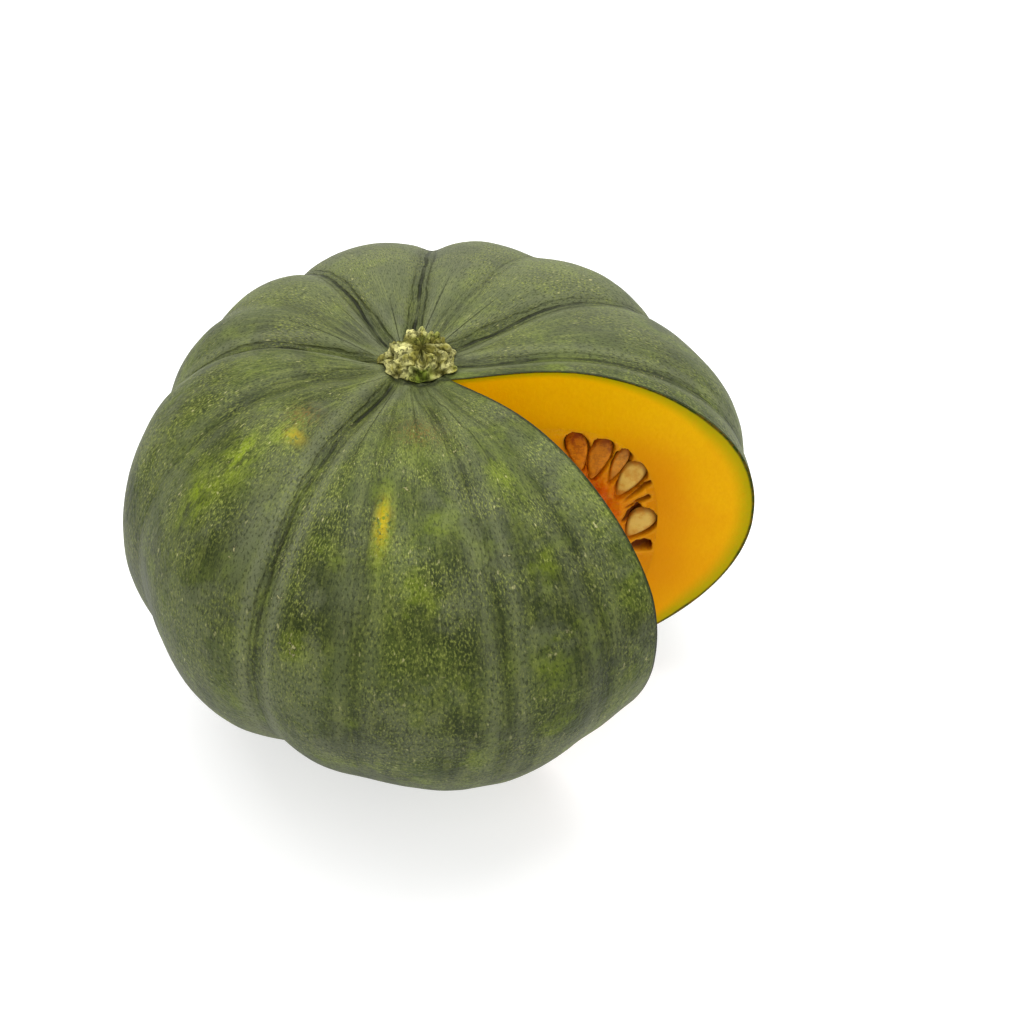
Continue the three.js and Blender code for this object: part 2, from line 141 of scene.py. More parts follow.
@dataclass
class FruitShape:
    """The skin, cavity wall and cut planes of the squash, as formulas of compass and polar angle."""

    radius: float = 88.0
    crown: float = 51.3
    base: float = 71.0
    crown_fullness: float = 2.36
    base_fullness: float = 1.9
    stem_hollow: tuple[float, float] = (13.8, 33.6)
    blossom_hollow: tuple[float, float] = (6.5, 25.0)
    off_centre: tuple[float, float] = (0.142, -0.056)
    oval: tuple[float, float] = (-0.043, 0.022)
    slump: float = 0.05
    valley_width: float = 9.0
    crease_width: float = 1.6
    grooves: tuple[Groove, ...] = (
        Groove(1, 2.4, 0.9),
        Groove(35, 3.0, 1.3),
        Groove(61, 1.8, 0.5),
        Groove(86, 2.6, 1.3),
        Groove(122, 2.6, 1.1),
        Groove(150, 1.3, 0.3),
        Groove(176, 3.0, 1.2),
        Groove(213, 1.9, 0.4),
        Groove(248, 3.2, 1.4),
        Groove(265, 1.2, 0.4),
        Groove(287, 2.1, 0.6),
        Groove(303, 1.6, 0.4),
    )
    swells: tuple[Swell, ...] = (
        Swell(22, -2.2, -0.6, 11),
        Swell(172, -0.8, -1.6, 9),
        Swell(203, 0.8, 2.8, 10),
        Swell(287, 0.8, 3.8, 11),
        Swell(315, 0, -3.6, 10),
    )
    cavity_share: float = 0.727
    cavity_middle: float = -10.6
    cavity_roof: float = 46.6
    cavity_floor: float = 33.4
    cavity_fullness: float = 3.0
    roof_dip: tuple[float, float] = (19.4, 39.6)
    corner: tuple[float, float] = (11.5, -8.0)
    face_angle: dict[Side, float] = field(default_factory=lambda: {Side.BACK: -3.3, Side.FRONT: -49.9})
    bend_span: float = math.radians(42)
    bend_ease: float = 1.5

    @property
    def corner_radius(self) -> float:
        """Distance of the notch's inner corner from the core line."""
        return math.hypot(*self.corner)

    def plan(self, angle: Array) -> Array:
        """The plan outline at a compass angle, as a share of the mean radius."""
        wide = self.off_centre[0] * np.cos(angle) + self.off_centre[1] * np.sin(angle)
        return 1 + wide + self.oval[0] * np.cos(2 * angle) + self.oval[1] * np.sin(2 * angle)

    def sink(self, angle: Array, share: Array, polar: Array) -> Array:
        """How far the ribs lower the smooth form.

        Args:
            angle: Compass angle in radians.
            share: Distance from the core line over the waist's.
            polar: 0 at the crown to pi at the base.

        Returns:
            Depths in millimetres.
        """
        # Below the waist the valleys deepen and the creases fade.
        degrees, down = np.degrees(angle), np.degrees(polar)
        low, fade, under = ramp(down, 90, 150), ramp(down, 95, 125), ramp(down, 70, 110)
        opening = ramp(share, 0, 0.35)
        fine = self.crease_width + 1.2 / np.maximum(share, 0.12)
        depth = np.zeros(np.broadcast(angle, polar).shape)
        for groove in self.grooves:
            away = degrees_between(degrees, groove.at)
            depth += groove.valley * bell(away, self.valley_width) * opening * (1 + 0.35 * low)
            depth += groove.crease * bell(away, fine) * ramp(share, 0.05, 0.2) * (1 - 0.6 * fade)
        for swell in self.swells:
            height = swell.above + (swell.below - swell.above) * under
            depth -= height * bell(degrees_between(degrees, swell.at), swell.width) * opening
        return depth

    def skin(self, angle: Array, polar: Array) -> Array:
        """Points of the skin at compass and polar angles in radians."""
        angle, polar = np.broadcast_arrays(angle, polar)
        s, c = np.sin(polar), np.cos(polar)
        upper = c >= 0
        power = np.where(upper, 2 / self.crown_fullness, 2 / self.base_fullness)
        height = np.where(upper, self.crown, self.base)
        share = np.abs(s) ** power
        flat = share * self.radius
        z = height * np.sign(c) * np.abs(c) ** power
        z = z + np.where(upper, -self.stem_hollow[0] * bell(flat, self.stem_hollow[1]),
                         self.blossom_hollow[0] * bell(flat, self.blossom_hollow[1]))
        out, up = height * s, self.radius * c
        length = np.hypot(out, up)
        sink = self.sink(angle, share, polar)
        r = flat * self.plan(angle) - sink * out / length
        return np.stack([r * np.cos(angle), r * np.sin(angle), z - sink * up / length], axis=-1)

    def cavity(self, angle: Array, polar: Array) -> Array:
        """Points of the cavity wall at compass and polar angles in radians."""
        angle, polar = np.broadcast_arrays(angle, polar)
        s, c = np.sin(polar), np.cos(polar)
        power = 2 / self.cavity_fullness
        r = np.abs(s) ** power * self.cavity_share * self.radius * self.plan(angle)
        height = np.where(c >= 0, self.cavity_roof, self.cavity_floor)
        dip = np.where(c >= 0, self.roof_dip[0] * bell(r, self.roof_dip[1]), 0.0)
        z = self.cavity_middle + height * np.sign(c) * np.abs(c) ** power - dip
        return np.stack([r * np.cos(angle), r * np.sin(angle), z], axis=-1)

    def face_axes(self, side: Side) -> tuple[Array, Array]:
        """The directions along a cut face, away from the core line, and square to it."""
        face = math.radians(self.face_angle[side])
        cos, sin = math.cos(face), math.sin(face)
        return np.array([cos, sin, 0.0]), np.array([-sin, cos, 0.0])

    def plane_offset(self, side: Side) -> float:
        """Signed distance of a cut plane from the core line, positive anticlockwise of it."""
        return float(self.face_axes(side)[1][:2] @ self.corner)

    def edge_angle(self, side: Side, r: Numbers) -> Array:
        """Compass angle at which a cut face stands at distance r from the core line."""
        turn = TURN if side is Side.FRONT else 0.0
        reach = self.plane_offset(side) / np.maximum(r, self.corner_radius)
        return math.radians(self.face_angle[side]) + turn + np.arcsin(np.clip(reach, -1, 1))

    @property
    def span(self) -> tuple[float, float]:
        """Compass angles of the two cut faces at the mean radius."""
        back, front = (float(self.edge_angle(side, self.radius)) for side in Side)
        return back, front

    def on_columns(self, surface: Callable, columns: Array, polars: Array) -> tuple:
        """Points of a surface on mesh columns that bend into the two cut faces.

        Args:
            surface: The skin or the cavity method.
            columns: Compass angles of the columns at the mean radius.
            polars: Polar angles of the rows.

        Returns:
            The points, with their compass angles, as arrays of rows by columns.
        """
        start, end = self.span
        near_start = ramp(columns, start + self.bend_span, start) ** self.bend_ease
        near_end = ramp(columns, end - self.bend_span, end) ** self.bend_ease
        angle = np.broadcast_to(columns, (len(polars), len(columns)))
        for _ in range(6):
            points = surface(angle, polars[:, None])
            r = np.hypot(points[..., 0], points[..., 1])
            back = self.edge_angle(Side.BACK, r) - start
            front = self.edge_angle(Side.FRONT, r) - end
            angle = columns + back * near_start + front * near_end
        return surface(angle, polars[:, None]), angle

    def rows(self, surface: Callable, count: int, cap: int) -> Array:
        """Polar angles of a surface's rows: cap rows inside the corner's radius at each end."""
        towards = math.atan2(self.corner[1], self.corner[0])

        def crossing(inside: float, outside: float) -> float:
            for _ in range(40):
                middle = (inside + outside) / 2
                x, y, _ = surface(towards, middle)
                if math.hypot(x, y) < self.corner_radius:
                    inside = middle
                else:
                    outside = middle
            return (inside + outside) / 2

        top = crossing(0.001, math.pi / 2)
        bottom = crossing(math.pi - 0.001, math.pi / 2)
        return np.concatenate([
            top * np.arange(1, cap) / cap,
            np.linspace(top, bottom, count + 1),
            bottom + (math.pi - bottom) * np.arange(1, cap) / cap,
        ])

    def place(self, points: Array) -> Array:
        """Millimetres in the fruit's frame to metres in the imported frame, with the lean to the cut."""
        x, y, z = np.moveaxis(np.asarray(points, dtype=float), -1, 0)
        lift = np.clip((z + self.base) / self.base, 0, 1)
        settled = np.stack([x + self.slump * z, y, z - self.slump * x * lift], axis=-1)
        return (settled + CORE_MM) * MM


SHAPE = FruitShape()


@dataclass
class Draft:
    """A mesh in the making: vertices in metres, faces, and numbers kept on the vertices."""

    points: list = field(default_factory=list)
    faces: list = field(default_factory=list)
    looks: list = field(default_factory=list)
    marks: dict = field(default_factory=dict)

    def add(self, points: Array, **marks: Numbers) -> Array:
        """Adds vertices and returns their numbers in the shape of the array of points."""
        flat = points.reshape(-1, 3)
        start = len(self.points)
        self.points.extend(map(tuple, flat))
        for name, values in marks.items():
            spread = np.broadcast_to(values, points.shape[:-1]).ravel()
            self.marks.setdefault(name, {}).update(zip(range(start, start + len(flat)), spread.tolist()))
        return np.arange(start, start + len(flat)).reshape(points.shape[:-1])

    def grid(self, numbers: Array, look: int = 0, flip: bool = False, wrap: bool = False) -> None:
        """Adds the quads between rows and columns of vertex numbers."""
        if wrap:
            numbers = np.concatenate([numbers, numbers[:, :1]], axis=1)
        a, b, c, d = numbers[:-1, :-1], numbers[1:, :-1], numbers[1:, 1:], numbers[:-1, 1:]
        quads = np.stack([a, d, c, b] if flip else [a, b, c, d], axis=-1).reshape(-1, 4)
        self.faces.extend(map(tuple, quads.tolist()))
        self.looks.extend([look] * len(quads))

    def cap(self, ring: Array, tip: Array, flip: bool, look: int = 0, **marks: float) -> None:
        """Closes a ring of vertices with triangles to a new vertex at the tip."""
        centre = int(self.add(tip.reshape(1, 3), **marks)[0])
        numbers = ring.tolist()
        for a, b in zip(numbers, numbers[1:] + numbers[:1]):
            self.faces.append((centre, b, a) if flip else (centre, a, b))
            self.looks.append(look)

    def build(self, name: str, materials: Sequence[Material], sharp: float = 180.0) -> Object:
        """Welds the vertices that share a place and makes the object.

        Args:
            name: The piece's name.
            materials: One material for each look number.
            sharp: Edges bent by more than this many degrees are drawn sharp.

        Returns:
            The new object, linked to the scene.
        """
        points = np.array(self.points)
        _, first, where = np.unique(np.round(points, 7), axis=0, return_index=True, return_inverse=True)
        where = where.ravel()
        faces, looks = [], []
        for face, look in zip(self.faces, self.looks):
            kept = list(dict.fromkeys(int(where[k]) for k in face))
            if len(kept) > 2:
                faces.append(kept)
                looks.append(look)
        mesh = bpy.data.meshes.new(name)
        mesh.from_pydata(points[first].tolist(), [], faces)
        mesh.polygons.foreach_set("material_index", looks)
        for mark, values in self.marks.items():
            layer = mesh.attributes.new(mark, "FLOAT", "POINT")
            layer.data.foreach_set("value", [values.get(int(k), 0.0) for k in first])
        for material in materials:
            mesh.materials.append(material)
        mesh.shade_smooth()
        if sharp < 180.0:
            mesh.set_sharp_from_angle(angle=math.radians(sharp))
        mesh.update()
        return in_scene(name, mesh)


def in_scene(name: str, data: bpy.types.ID) -> Object:
    """A new object in the scene with a mesh, a light or a camera in it."""
    item = bpy.data.objects.new(name, data)
    bpy.context.scene.collection.objects.link(item)
    return item


def settle_piece(piece: Object, nodes: Sequence[str]) -> None:
    """Puts a piece on its body and hides the nodes that it stands for."""
    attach(piece, BODY)
    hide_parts(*nodes)
    LOG.info("%s: %d faces", piece.name, len(piece.data.polygons))


def linear(colour: str) -> tuple[float, float, float, float]:
    """An sRGB hex colour as linear RGBA."""
    parts = [int(colour[i:i + 2], 16) / 255 for i in (1, 3, 5)]
    return (*[p / 12.92 if p <= 0.04045 else ((p + 0.055) / 1.055) ** 2.4 for p in parts], 1.0)


def add_node(tree: Tree, kind: str, sockets: dict | None = None, **settings) -> bpy.types.Node:
    """Adds a node with its settings and links.

    Args:
        tree: The material's node tree.
        kind: The node's type name, without its ShaderNode prefix.
        sockets: Input name or number to a value, or to a signal that feeds it.
        **settings: Attributes of the node itself.

    Returns:
        The new node.
    """
    node = tree.nodes.new(f"ShaderNode{kind}")
    for key, value in settings.items():
        setattr(node, key, value)
    for key, value in (sockets or {}).items():
        if isinstance(value, Signal):
            tree.links.new(value.socket, node.inputs[key])
        else:
            node.inputs[key].default_value = value
    return node


def per_metre(size_mm: float) -> float:
    """The texture scale at which one feature is about that many millimetres."""
    return 1 / (size_mm * MM)


@dataclass(frozen=True)
class Signal:
    """A number, colour or place that runs between a material's nodes; arithmetic on it adds nodes."""

    tree: Tree
    socket: bpy.types.NodeSocket

    def math(self, operation: str, first: "Signal | float", second: "Signal | float") -> "Signal":
        """What a math node makes of two signals or numbers."""
        node = add_node(self.tree, "Math", {0: first, 1: second}, operation=operation)
        return Signal(self.tree, node.outputs[0])

    def __mul__(self, other: "Signal | float") -> "Signal":
        return self.math("MULTIPLY", self, other)

    def __add__(self, other: "Signal | float") -> "Signal":
        return self.math("ADD", self, other)

    def __sub__(self, other: "Signal | float") -> "Signal":
        return self.math("SUBTRACT", self, other)

    def __rsub__(self, other: float) -> "Signal":
        return self.math("SUBTRACT", other, self)

    def __abs__(self) -> "Signal":
        return self.math("ABSOLUTE", self, 0.0)

    def most(self, other: "Signal | float") -> "Signal":
        """The larger of two."""
        return self.math("MAXIMUM", self, other)

    def between(self, low: float, high: float) -> "Signal":
        """Stretches the range from low to high to 0 to 1, smoothly."""
        sockets = {"Value": self, "From Min": low, "From Max": high}
        node = add_node(self.tree, "MapRange", sockets, interpolation_type="SMOOTHSTEP")
        return Signal(self.tree, node.outputs["Result"])


@dataclass(frozen=True)
class NodeKit:
    """A new material with its node tree and its shader, and what the finishes put together from."""

    material: Material
    tree: Tree
    shader: bpy.types.Node
    where: Signal

    def signal(self, kind: str, sockets: dict, output: str | int = 0, **settings) -> Signal:
        """What comes out of a new node."""
        return Signal(self.tree, add_node(self.tree, kind, sockets, **settings).outputs[output])

    def noise(self, size_mm: float, detail: float = 3.0, rough: float = 0.55, at: Signal | None = None,
              output: str = "Fac") -> Signal:
        """Noise with lumps of a real size, about 0.3 to 0.7."""
        sockets = {"Vector": at or self.where, "Scale": per_metre(size_mm), "Detail": detail,
                   "Roughness": rough}
        return self.signal("TexNoise", sockets, output)

    def mixed(self, amount: Signal | float, a: Signal | str, b: Signal | str) -> Signal:
        """Mixes two colours, each a hex string or a signal."""
        first, second = (linear(colour) if isinstance(colour, str) else colour for colour in (a, b))
        return self.signal("Mix", {0: amount, 6: first, 7: second}, 2, data_type="RGBA")

    def coats(self, colour: Signal, *coats: tuple[Signal, Signal | str]) -> Signal:
        """Lays coats over a colour in turn, each with the amount that says where it shows."""
        for amount, over in coats:
            colour = self.mixed(amount, colour, over)
        return colour

    def mark(self, name: str) -> Signal:
        """A number kept on the mesh's vertices."""
        return self.signal("Attribute", {}, "Fac", attribute_name=name)

    def height(self) -> Signal:
        """Metres above the ground."""
        return self.signal("SeparateXYZ", {0: self.where}, 2)

    def upright(self, share: float) -> Signal:
        """A place whose noise is drawn out upwards, longer for a smaller share."""
        return self.signal("VectorMath", {0: self.where, 1: (1.0, 1.0, share)}, operation="MULTIPLY")

    def feed(self, name: str, value: Signal) -> None:
        """Leads a signal into the shader."""
        self.tree.links.new(value.socket, self.shader.inputs[name])

    def bump(self, height: Signal, depth_mm: float, under: Signal | None = None) -> Signal:
        """Raises a height map of 0 to 1 by a real depth, over another bump if one is given."""
        sockets = {"Height": height, "Distance": depth_mm * MM, "Strength": 1.0}
        if under is not None:
            sockets["Normal"] = under
        normal = self.signal("Bump", sockets, "Normal")
        self.feed("Normal", normal)
        return normal


@dataclass(frozen=True)
class Finish:
    """What all the finishes share: gloss and light under the surface."""

    name: str = "finish"
    roughness: float = 0.5
    ior: float = 1.45
    sheen: float = 0.3
    subsurface: float = 0.0
    subsurface_mm: float = 2.0

    def start(self) -> NodeKit:
        material = bpy.data.materials.new(self.name)
        material.use_nodes = True
        tree = material.node_tree
        shader = tree.nodes["Principled BSDF"]
        for name, value in (
            ("Roughness", self.roughness),
            ("IOR", self.ior),
            ("Specular IOR Level", self.sheen),
            ("Subsurface Weight", self.subsurface),
            ("Subsurface Radius", (1.0, 0.55, 0.12)),
            ("Subsurface Scale", self.subsurface_mm * MM),
        ):
            shader.inputs[name].default_value = value
        where = add_node(tree, "TexCoord").outputs["Object"]
        return NodeKit(material, tree, shader, Signal(tree, where))


@dataclass(frozen=True)
class GrownRind(Finish):
    """Hard waxy rind, grown in sun and soil: olive green, densely flecked, with smoky bloom."""

    name: str = "grown_rind"
    roughness: float = 0.5
    sheen: float = 0.15
    dark: str = "#27300c"
    middle: str = "#3e4918"
    fleck: str = "#828a40"
    shade: str = "#161d07"
    lively: str = "#7d8f12"
    ripe: str = "#ad9608"
    rust: str = "#665124"
    # Grey of the bloom, also laid over the upper far side as painted sheen.
    bloom_and_painted_sheen: str = "#70745a"
    # Dark lines in the grooves and at the cut edges, and the painted shade round the stem's foot.
    crease: str = "#0f1308"
    scab: str = "#aaa672"
    # Each fine line in a groove: millimetres beside its bottom, width, strength and size of its bends.
    creases: tuple[tuple[float, float, float, float], ...] = (
        (0.0, 0.5, 1.0, 14), (1.7, 0.32, 0.65, 10), (-1.9, 0.28, 0.5, 8),
    )

    def groove_lines(self, kit: NodeKit) -> Signal:
        """Two or three fine dark cracks that wander along the bottom of each groove."""
        away = kit.mark("groove_mm")
        # A soft darker band along the bottom of each groove, under the fine lines.
        total = abs(away).between(4.0, 0.5) * 0.3
        for offset, width, strength, size in self.creases:
            wander = (kit.noise(size, 2) - 0.5) * 2.4
            near = abs(away + wander + offset)
            line = near.between(width * 1.8, width * 0.3) * strength
            broken = kit.noise(size * 0.6, 3, 0.6).between(0.3, 0.55)
            total = total.most(line * (broken * 0.5 + 0.5))
        total = total * kit.mark("groove")
        knife = kit.mark("cut_mm").between(0.9, 0.2)
        # Also the knife's dark line along the cut edges, and the painted shade round the stem's foot.
        return total.most(knife * 0.8).most(kit.mark("ring"))

    def stretched(self, kit: NodeKit, share: float) -> Signal:
        """A place on the skin whose noise is drawn out along the ribs, longer for a smaller share."""
        across, along = kit.mark("across_mm"), kit.mark("along_mm")
        return kit.signal("CombineXYZ", {"X": across * MM, "Y": along * (MM * share)})

    def scabs(self, kit: NodeKit) -> Signal:
        """Where a healed scab sits: in a few of the cells of a bent honeycomb, and ragged."""
        bent = kit.mixed(0.012, kit.where, kit.noise(2.0, 2.0, 0.5, output="Color"))
        cells = add_node(kit.tree, "TexVoronoi", {"Vector": bent, "Scale": per_metre(13.0)})
        near, cell = (Signal(kit.tree, cells.outputs[name]) for name in ("Distance", "Color"))
        chosen = kit.signal("SeparateColor", {0: cell}).between(0.7, 0.75)
        return near.between(0.1, 0.05) * chosen * kit.noise(1.4).between(0.4, 0.5)

    def make(self) -> Material:
        """Blotches, flecks, bloom along the grooves and painted sheen up top, ripe patches, cracks and
        scabs.
        """
        kit = self.start()
        streaks_at, flecks_at = self.stretched(kit, 0.16), self.stretched(kit, 0.5)
        along, patch = kit.mark("along_mm"), kit.mark("lively")
        blotches = kit.noise(22, 5, 0.62).between(0.38, 0.62)
        streaks = kit.noise(2.2, 4, 0.6, at=streaks_at).between(0.46, 0.66)
        streaks = streaks * (along.between(60, 18) * 0.25 + 0.2)
        ragged = kit.noise(4.5, 4, 0.7, at=flecks_at).between(0.34, 0.6)
        lively = (kit.noise(12, 4, 0.6).between(0.5, 0.68) * 0.35).most(patch * ragged)
        # Smoky bloom that hands and rain haven't rubbed off, thickest beside the grooves, with painted
        # sheen up top.
        smoke_and_sheen = kit.noise(15, 4, 0.6).between(0.44, 0.62)
        smoke_and_sheen = (smoke_and_sheen * 0.55).most(kit.mark("bloom_and_painted_sheen")) * (1.0 - patch)
        smooth = kit.mark("smooth")
        smoke_and_sheen = smoke_and_sheen.most(smooth * 0.85)
        # Flecks about half a millimetre wide crowd in some places and thin out in others.
        crowd = kit.noise(14, 4, 0.6).between(0.36, 0.62)
        crowd = (crowd * 0.8 + 0.2 - smoke_and_sheen * 0.2) * (1.0 - smooth * 0.7)
        crowd = crowd * (along.between(125.0, 60.0) * 0.45 + 0.5)
        light = kit.noise(0.52, 2, 0.6, at=flecks_at).between(0.47, 0.67)
        shade = kit.noise(0.65, 2, 0.6, at=flecks_at).between(0.5, 0.34)
        pale = kit.noise(1.3, 2, 0.5, at=flecks_at).between(0.66, 0.74)
        rusty = kit.noise(0.9, 2, 0.6, at=flecks_at).between(0.46, 0.58)
        ripe = kit.noise(1.5, 4, 0.65).between(0.38, 0.5)
        # The cracks include the painted shade round the stem's foot.
        cracks, spots = self.groove_lines(kit), self.scabs(kit)
        kit.feed("Base Color", kit.coats(
            kit.mixed(blotches, self.dark, self.middle),
            (streaks, self.fleck),
            (lively * 0.8, self.lively),
            (smoke_and_sheen * 0.6, self.bloom_and_painted_sheen),
            (light * crowd, self.fleck),
            (shade * 0.6, self.shade),
            (pale * crowd, self.scab),
            (rusty * kit.mark("rusty"), self.rust),
            (ripe * kit.mark("ripe"), self.ripe),
            (cracks * 0.92, self.crease),
            (spots * 0.7, self.scab),
        ))
        kit.feed("Roughness", smoke_and_sheen * 0.12 + self.roughness)
        leather = kit.bump(kit.noise(2.6, 4, 0.6), 0.45)
        grain = kit.bump(kit.noise(1.0, 2, 0.6), 0.16, leather)
        kit.bump(spots - cracks, 0.5, grain)
        return kit.material


@dataclass(frozen=True)
class CutFlesh(Finish):
    """Raw squash flesh, cut with a knife: moist and a little see-through, greener towards the rind."""

    name: str = "cut_flesh"
    roughness: float = 0.38
    subsurface: float = 0.18
    subsurface_mm: float = 3.0
    sheen: float = 0.04
    ripe: str = "#de9e00"
    deep: str = "#d28a00"
    pale: str = "#e4b600"
    lime: str = "#9c9a00"
    skin: str = "#2a3a0c"

    def make(self) -> Material:
        """Orange flesh, a lime band under the rind, a thin green line at it, and drag marks."""
        kit = self.start()
        depth = kit.mark("depth_mm") + kit.noise(9) * 0.7 - 0.35
        cloud = kit.noise(14, 4, 0.6).between(0.38, 0.62)
        outer = depth.between(20.0, 5.0) * 0.3 + cloud * 0.25
        inner = kit.mark("wall_mm").between(14.0, 0.0)
        height = kit.height()
        fibres = kit.noise(1.2, 3, 0.6).between(0.42, 0.6)
        kit.feed("Base Color", kit.coats(
            kit.mixed(outer, self.ripe, self.pale),
            (inner * 0.8, self.deep),
            # Painted light and shade: the cut faces paler near their tops and deeper orange low down.
            (height.between(0.076, 0.094) * 0.75, self.pale),
            (height.between(0.07, 0.03) * 0.5, self.deep),
            (depth.between(6.5, 0.4) * 0.95, self.lime),
            (depth.between(1.2, 0.5), self.skin),
            (fibres * 0.12, self.deep),
        ))
        wet = kit.noise(6).between(0.35, 0.65)
        kit.feed("Roughness", wet * 0.16 + (self.roughness - 0.08))
        drag = kit.bump(kit.noise(4.5, 3, 0.6), 0.18)
        kit.bump(kit.noise(0.9, 3, 0.7), 0.1, drag)
        return kit.material


@dataclass(frozen=True)
class CavityLining(Finish):
    """The flesh next to the seeds: soft, wet and stringy, where the pulp has pulled away."""

    name: str = "cavity_lining"
    roughness: float = 0.4
    subsurface: float = 0.2
    subsurface_mm: float = 3.0
    light: str = "#f8c044"
    dark: str = "#e89c28"

    def make(self) -> Material:
        """Orange hollows between lighter strings that run up and down the wall."""
        kit = self.start()
        strings = kit.noise(3.2, 4, 0.65, at=kit.upright(0.3)).between(0.4, 0.62)
        kit.feed("Base Color", kit.mixed(strings, self.dark, self.light))
        rough = kit.bump(strings, 1.0)
        kit.bump(kit.noise(1.1, 3, 0.7), 0.3, rough)
        return kit.material


@dataclass(frozen=True)
class WetPulp(Finish):
    """The strings that carry the seeds: wet, slippery and see-through at their edges."""

    name: str = "wet_pulp"
    roughness: float = 0.26
    subsurface: float = 0.3
    subsurface_mm: float = 3.0
    light: str = "#f2a22a"
    dark: str = "#dc6a16"

    def make(self) -> Material:
        """Red-orange strings with lighter streaks."""
        kit = self.start()
        strings_at = kit.upright(0.35)
        strings = kit.noise(2.0, 4, 0.65, at=strings_at).between(0.38, 0.62)
        kit.feed("Base Color", kit.mixed(strings, self.dark, self.light))
        kit.bump(kit.noise(1.0, 3, 0.6, at=strings_at), 0.35)
        return kit.material


@dataclass(frozen=True)
class SoftBed(Finish):
    """The soft pulp round the seeds, cut with the flesh: flesh-coloured at the wall, redder inwards."""

    name: str = "soft_bed"
    roughness: float = 0.32
    subsurface: float = 0.22
    subsurface_mm: float = 3.0
    sheen: float = 0.06
    flesh: str = "#d48c00"
    painted_top_light: str = "#e0a800"
    inner: str = "#cc5000"
    pale: str = "#dc9a14"
    pocket_brown_and_shade: str = "#663003"

    def make(self) -> Material:
        """Strings towards the core, pale walls between the pockets, and brown pulp with painted shade in
        them.
        """
        kit = self.start()
        inward = kit.mark("inward").between(0.2, 0.85)
        strings = kit.noise(2.0, 4, 0.65).between(0.42, 0.62)
        kit.feed("Base Color", kit.coats(
            # Painted light: paler yellow towards the top, as on the cut flesh.
            kit.mixed(kit.height().between(0.066, 0.086), self.flesh, self.painted_top_light),
            (inward, self.inner),
            (strings * (inward * 0.4), self.pale),
            (kit.mark("ridge"), self.pale),
            (kit.mark("pocket"), self.pocket_brown_and_shade),
        ))
        kit.bump(kit.noise(1.3, 4, 0.65), 0.35)
        return kit.material


@dataclass(frozen=True)
class SeedCoat(Finish):
    """A fresh seed's leathery coat: cream, with a tan rim and dried pulp sticking to it."""

    name: str = "seed_coat"
    roughness: float = 0.5
    subsurface: float = 0.15
    subsurface_mm: float = 1.0
    sheen: float = 0.12
    cream: str = "#d6bc60"
    tan: str = "#8e5c12"
    stain: str = "#b87206"
    veil: str = "#cc7c00"
    husk: str = "#843a00"

    def make(self) -> Material:
        """Cream in the middle, tan at the rim and the tip, and stained by the pulp."""
        kit = self.start()
        rim = kit.mark("rim").between(0.62, 0.95)
        stain = kit.noise(3.0, 4, 0.65).between(0.42, 0.64)
        tip = kit.mark("along").between(0.45, 0.05)
        # Under a veil the seed shows orange, mottled, and darker towards its tip.
        film = kit.noise(1.8, 4, 0.75).between(0.42, 0.6)
        far = kit.mark("along").between(0.5, 1.0)
        kit.feed("Base Color", kit.coats(
            kit.mixed(rim * 0.75, self.cream, self.tan),
            (stain * 0.5 + tip * 0.5, self.stain),
            (kit.mark("veil"), kit.mixed(film * 0.5 + far * 0.7, self.veil, self.husk)),
        ))
        kit.bump(kit.noise(0.9, 3, 0.6), 0.12)
        return kit.material


@dataclass(frozen=True)
class DryCork(Finish):
    """A squash stem's dry cork: cracked and matt, tan on its knobs and green where it is younger."""

    name: str = "dry_cork"
    roughness: float = 0.82
    sheen: float = 0.1
    light: str = "#cdc985"
    tan: str = "#8d883e"
    green: str = "#70802a"
    crack_and_shade: str = "#3b3d18"

    def make(self) -> Material:
        """Tan and green patches with dark cracks, and painted shade in the hollows and folds."""
        kit = self.start()
        patches = kit.noise(5.5, 4, 0.6).between(0.4, 0.6)
        young = kit.noise(6.0, 3, 0.6).between(0.52, 0.64)
        cracks = kit.noise(1.3, 4, 0.7).between(0.5, 0.36)
        kit.feed("Base Color", kit.coats(
            kit.mixed(patches, self.tan, self.light),
            ((young * 0.5).most(kit.mark("young")), self.green),
            # Painted shade at the foot, in the dip of the top and in the valleys of the folds.
            (kit.mark("hollow"), self.crack_and_shade),
            (kit.mark("fold"), self.crack_and_shade),
            (cracks * 0.6, self.crack_and_shade),
        ))
        lumps = kit.bump(kit.noise(2.2, 4, 0.65), 0.8)
        kit.bump(1.0 - cracks, 0.5, lumps)
        return kit.material


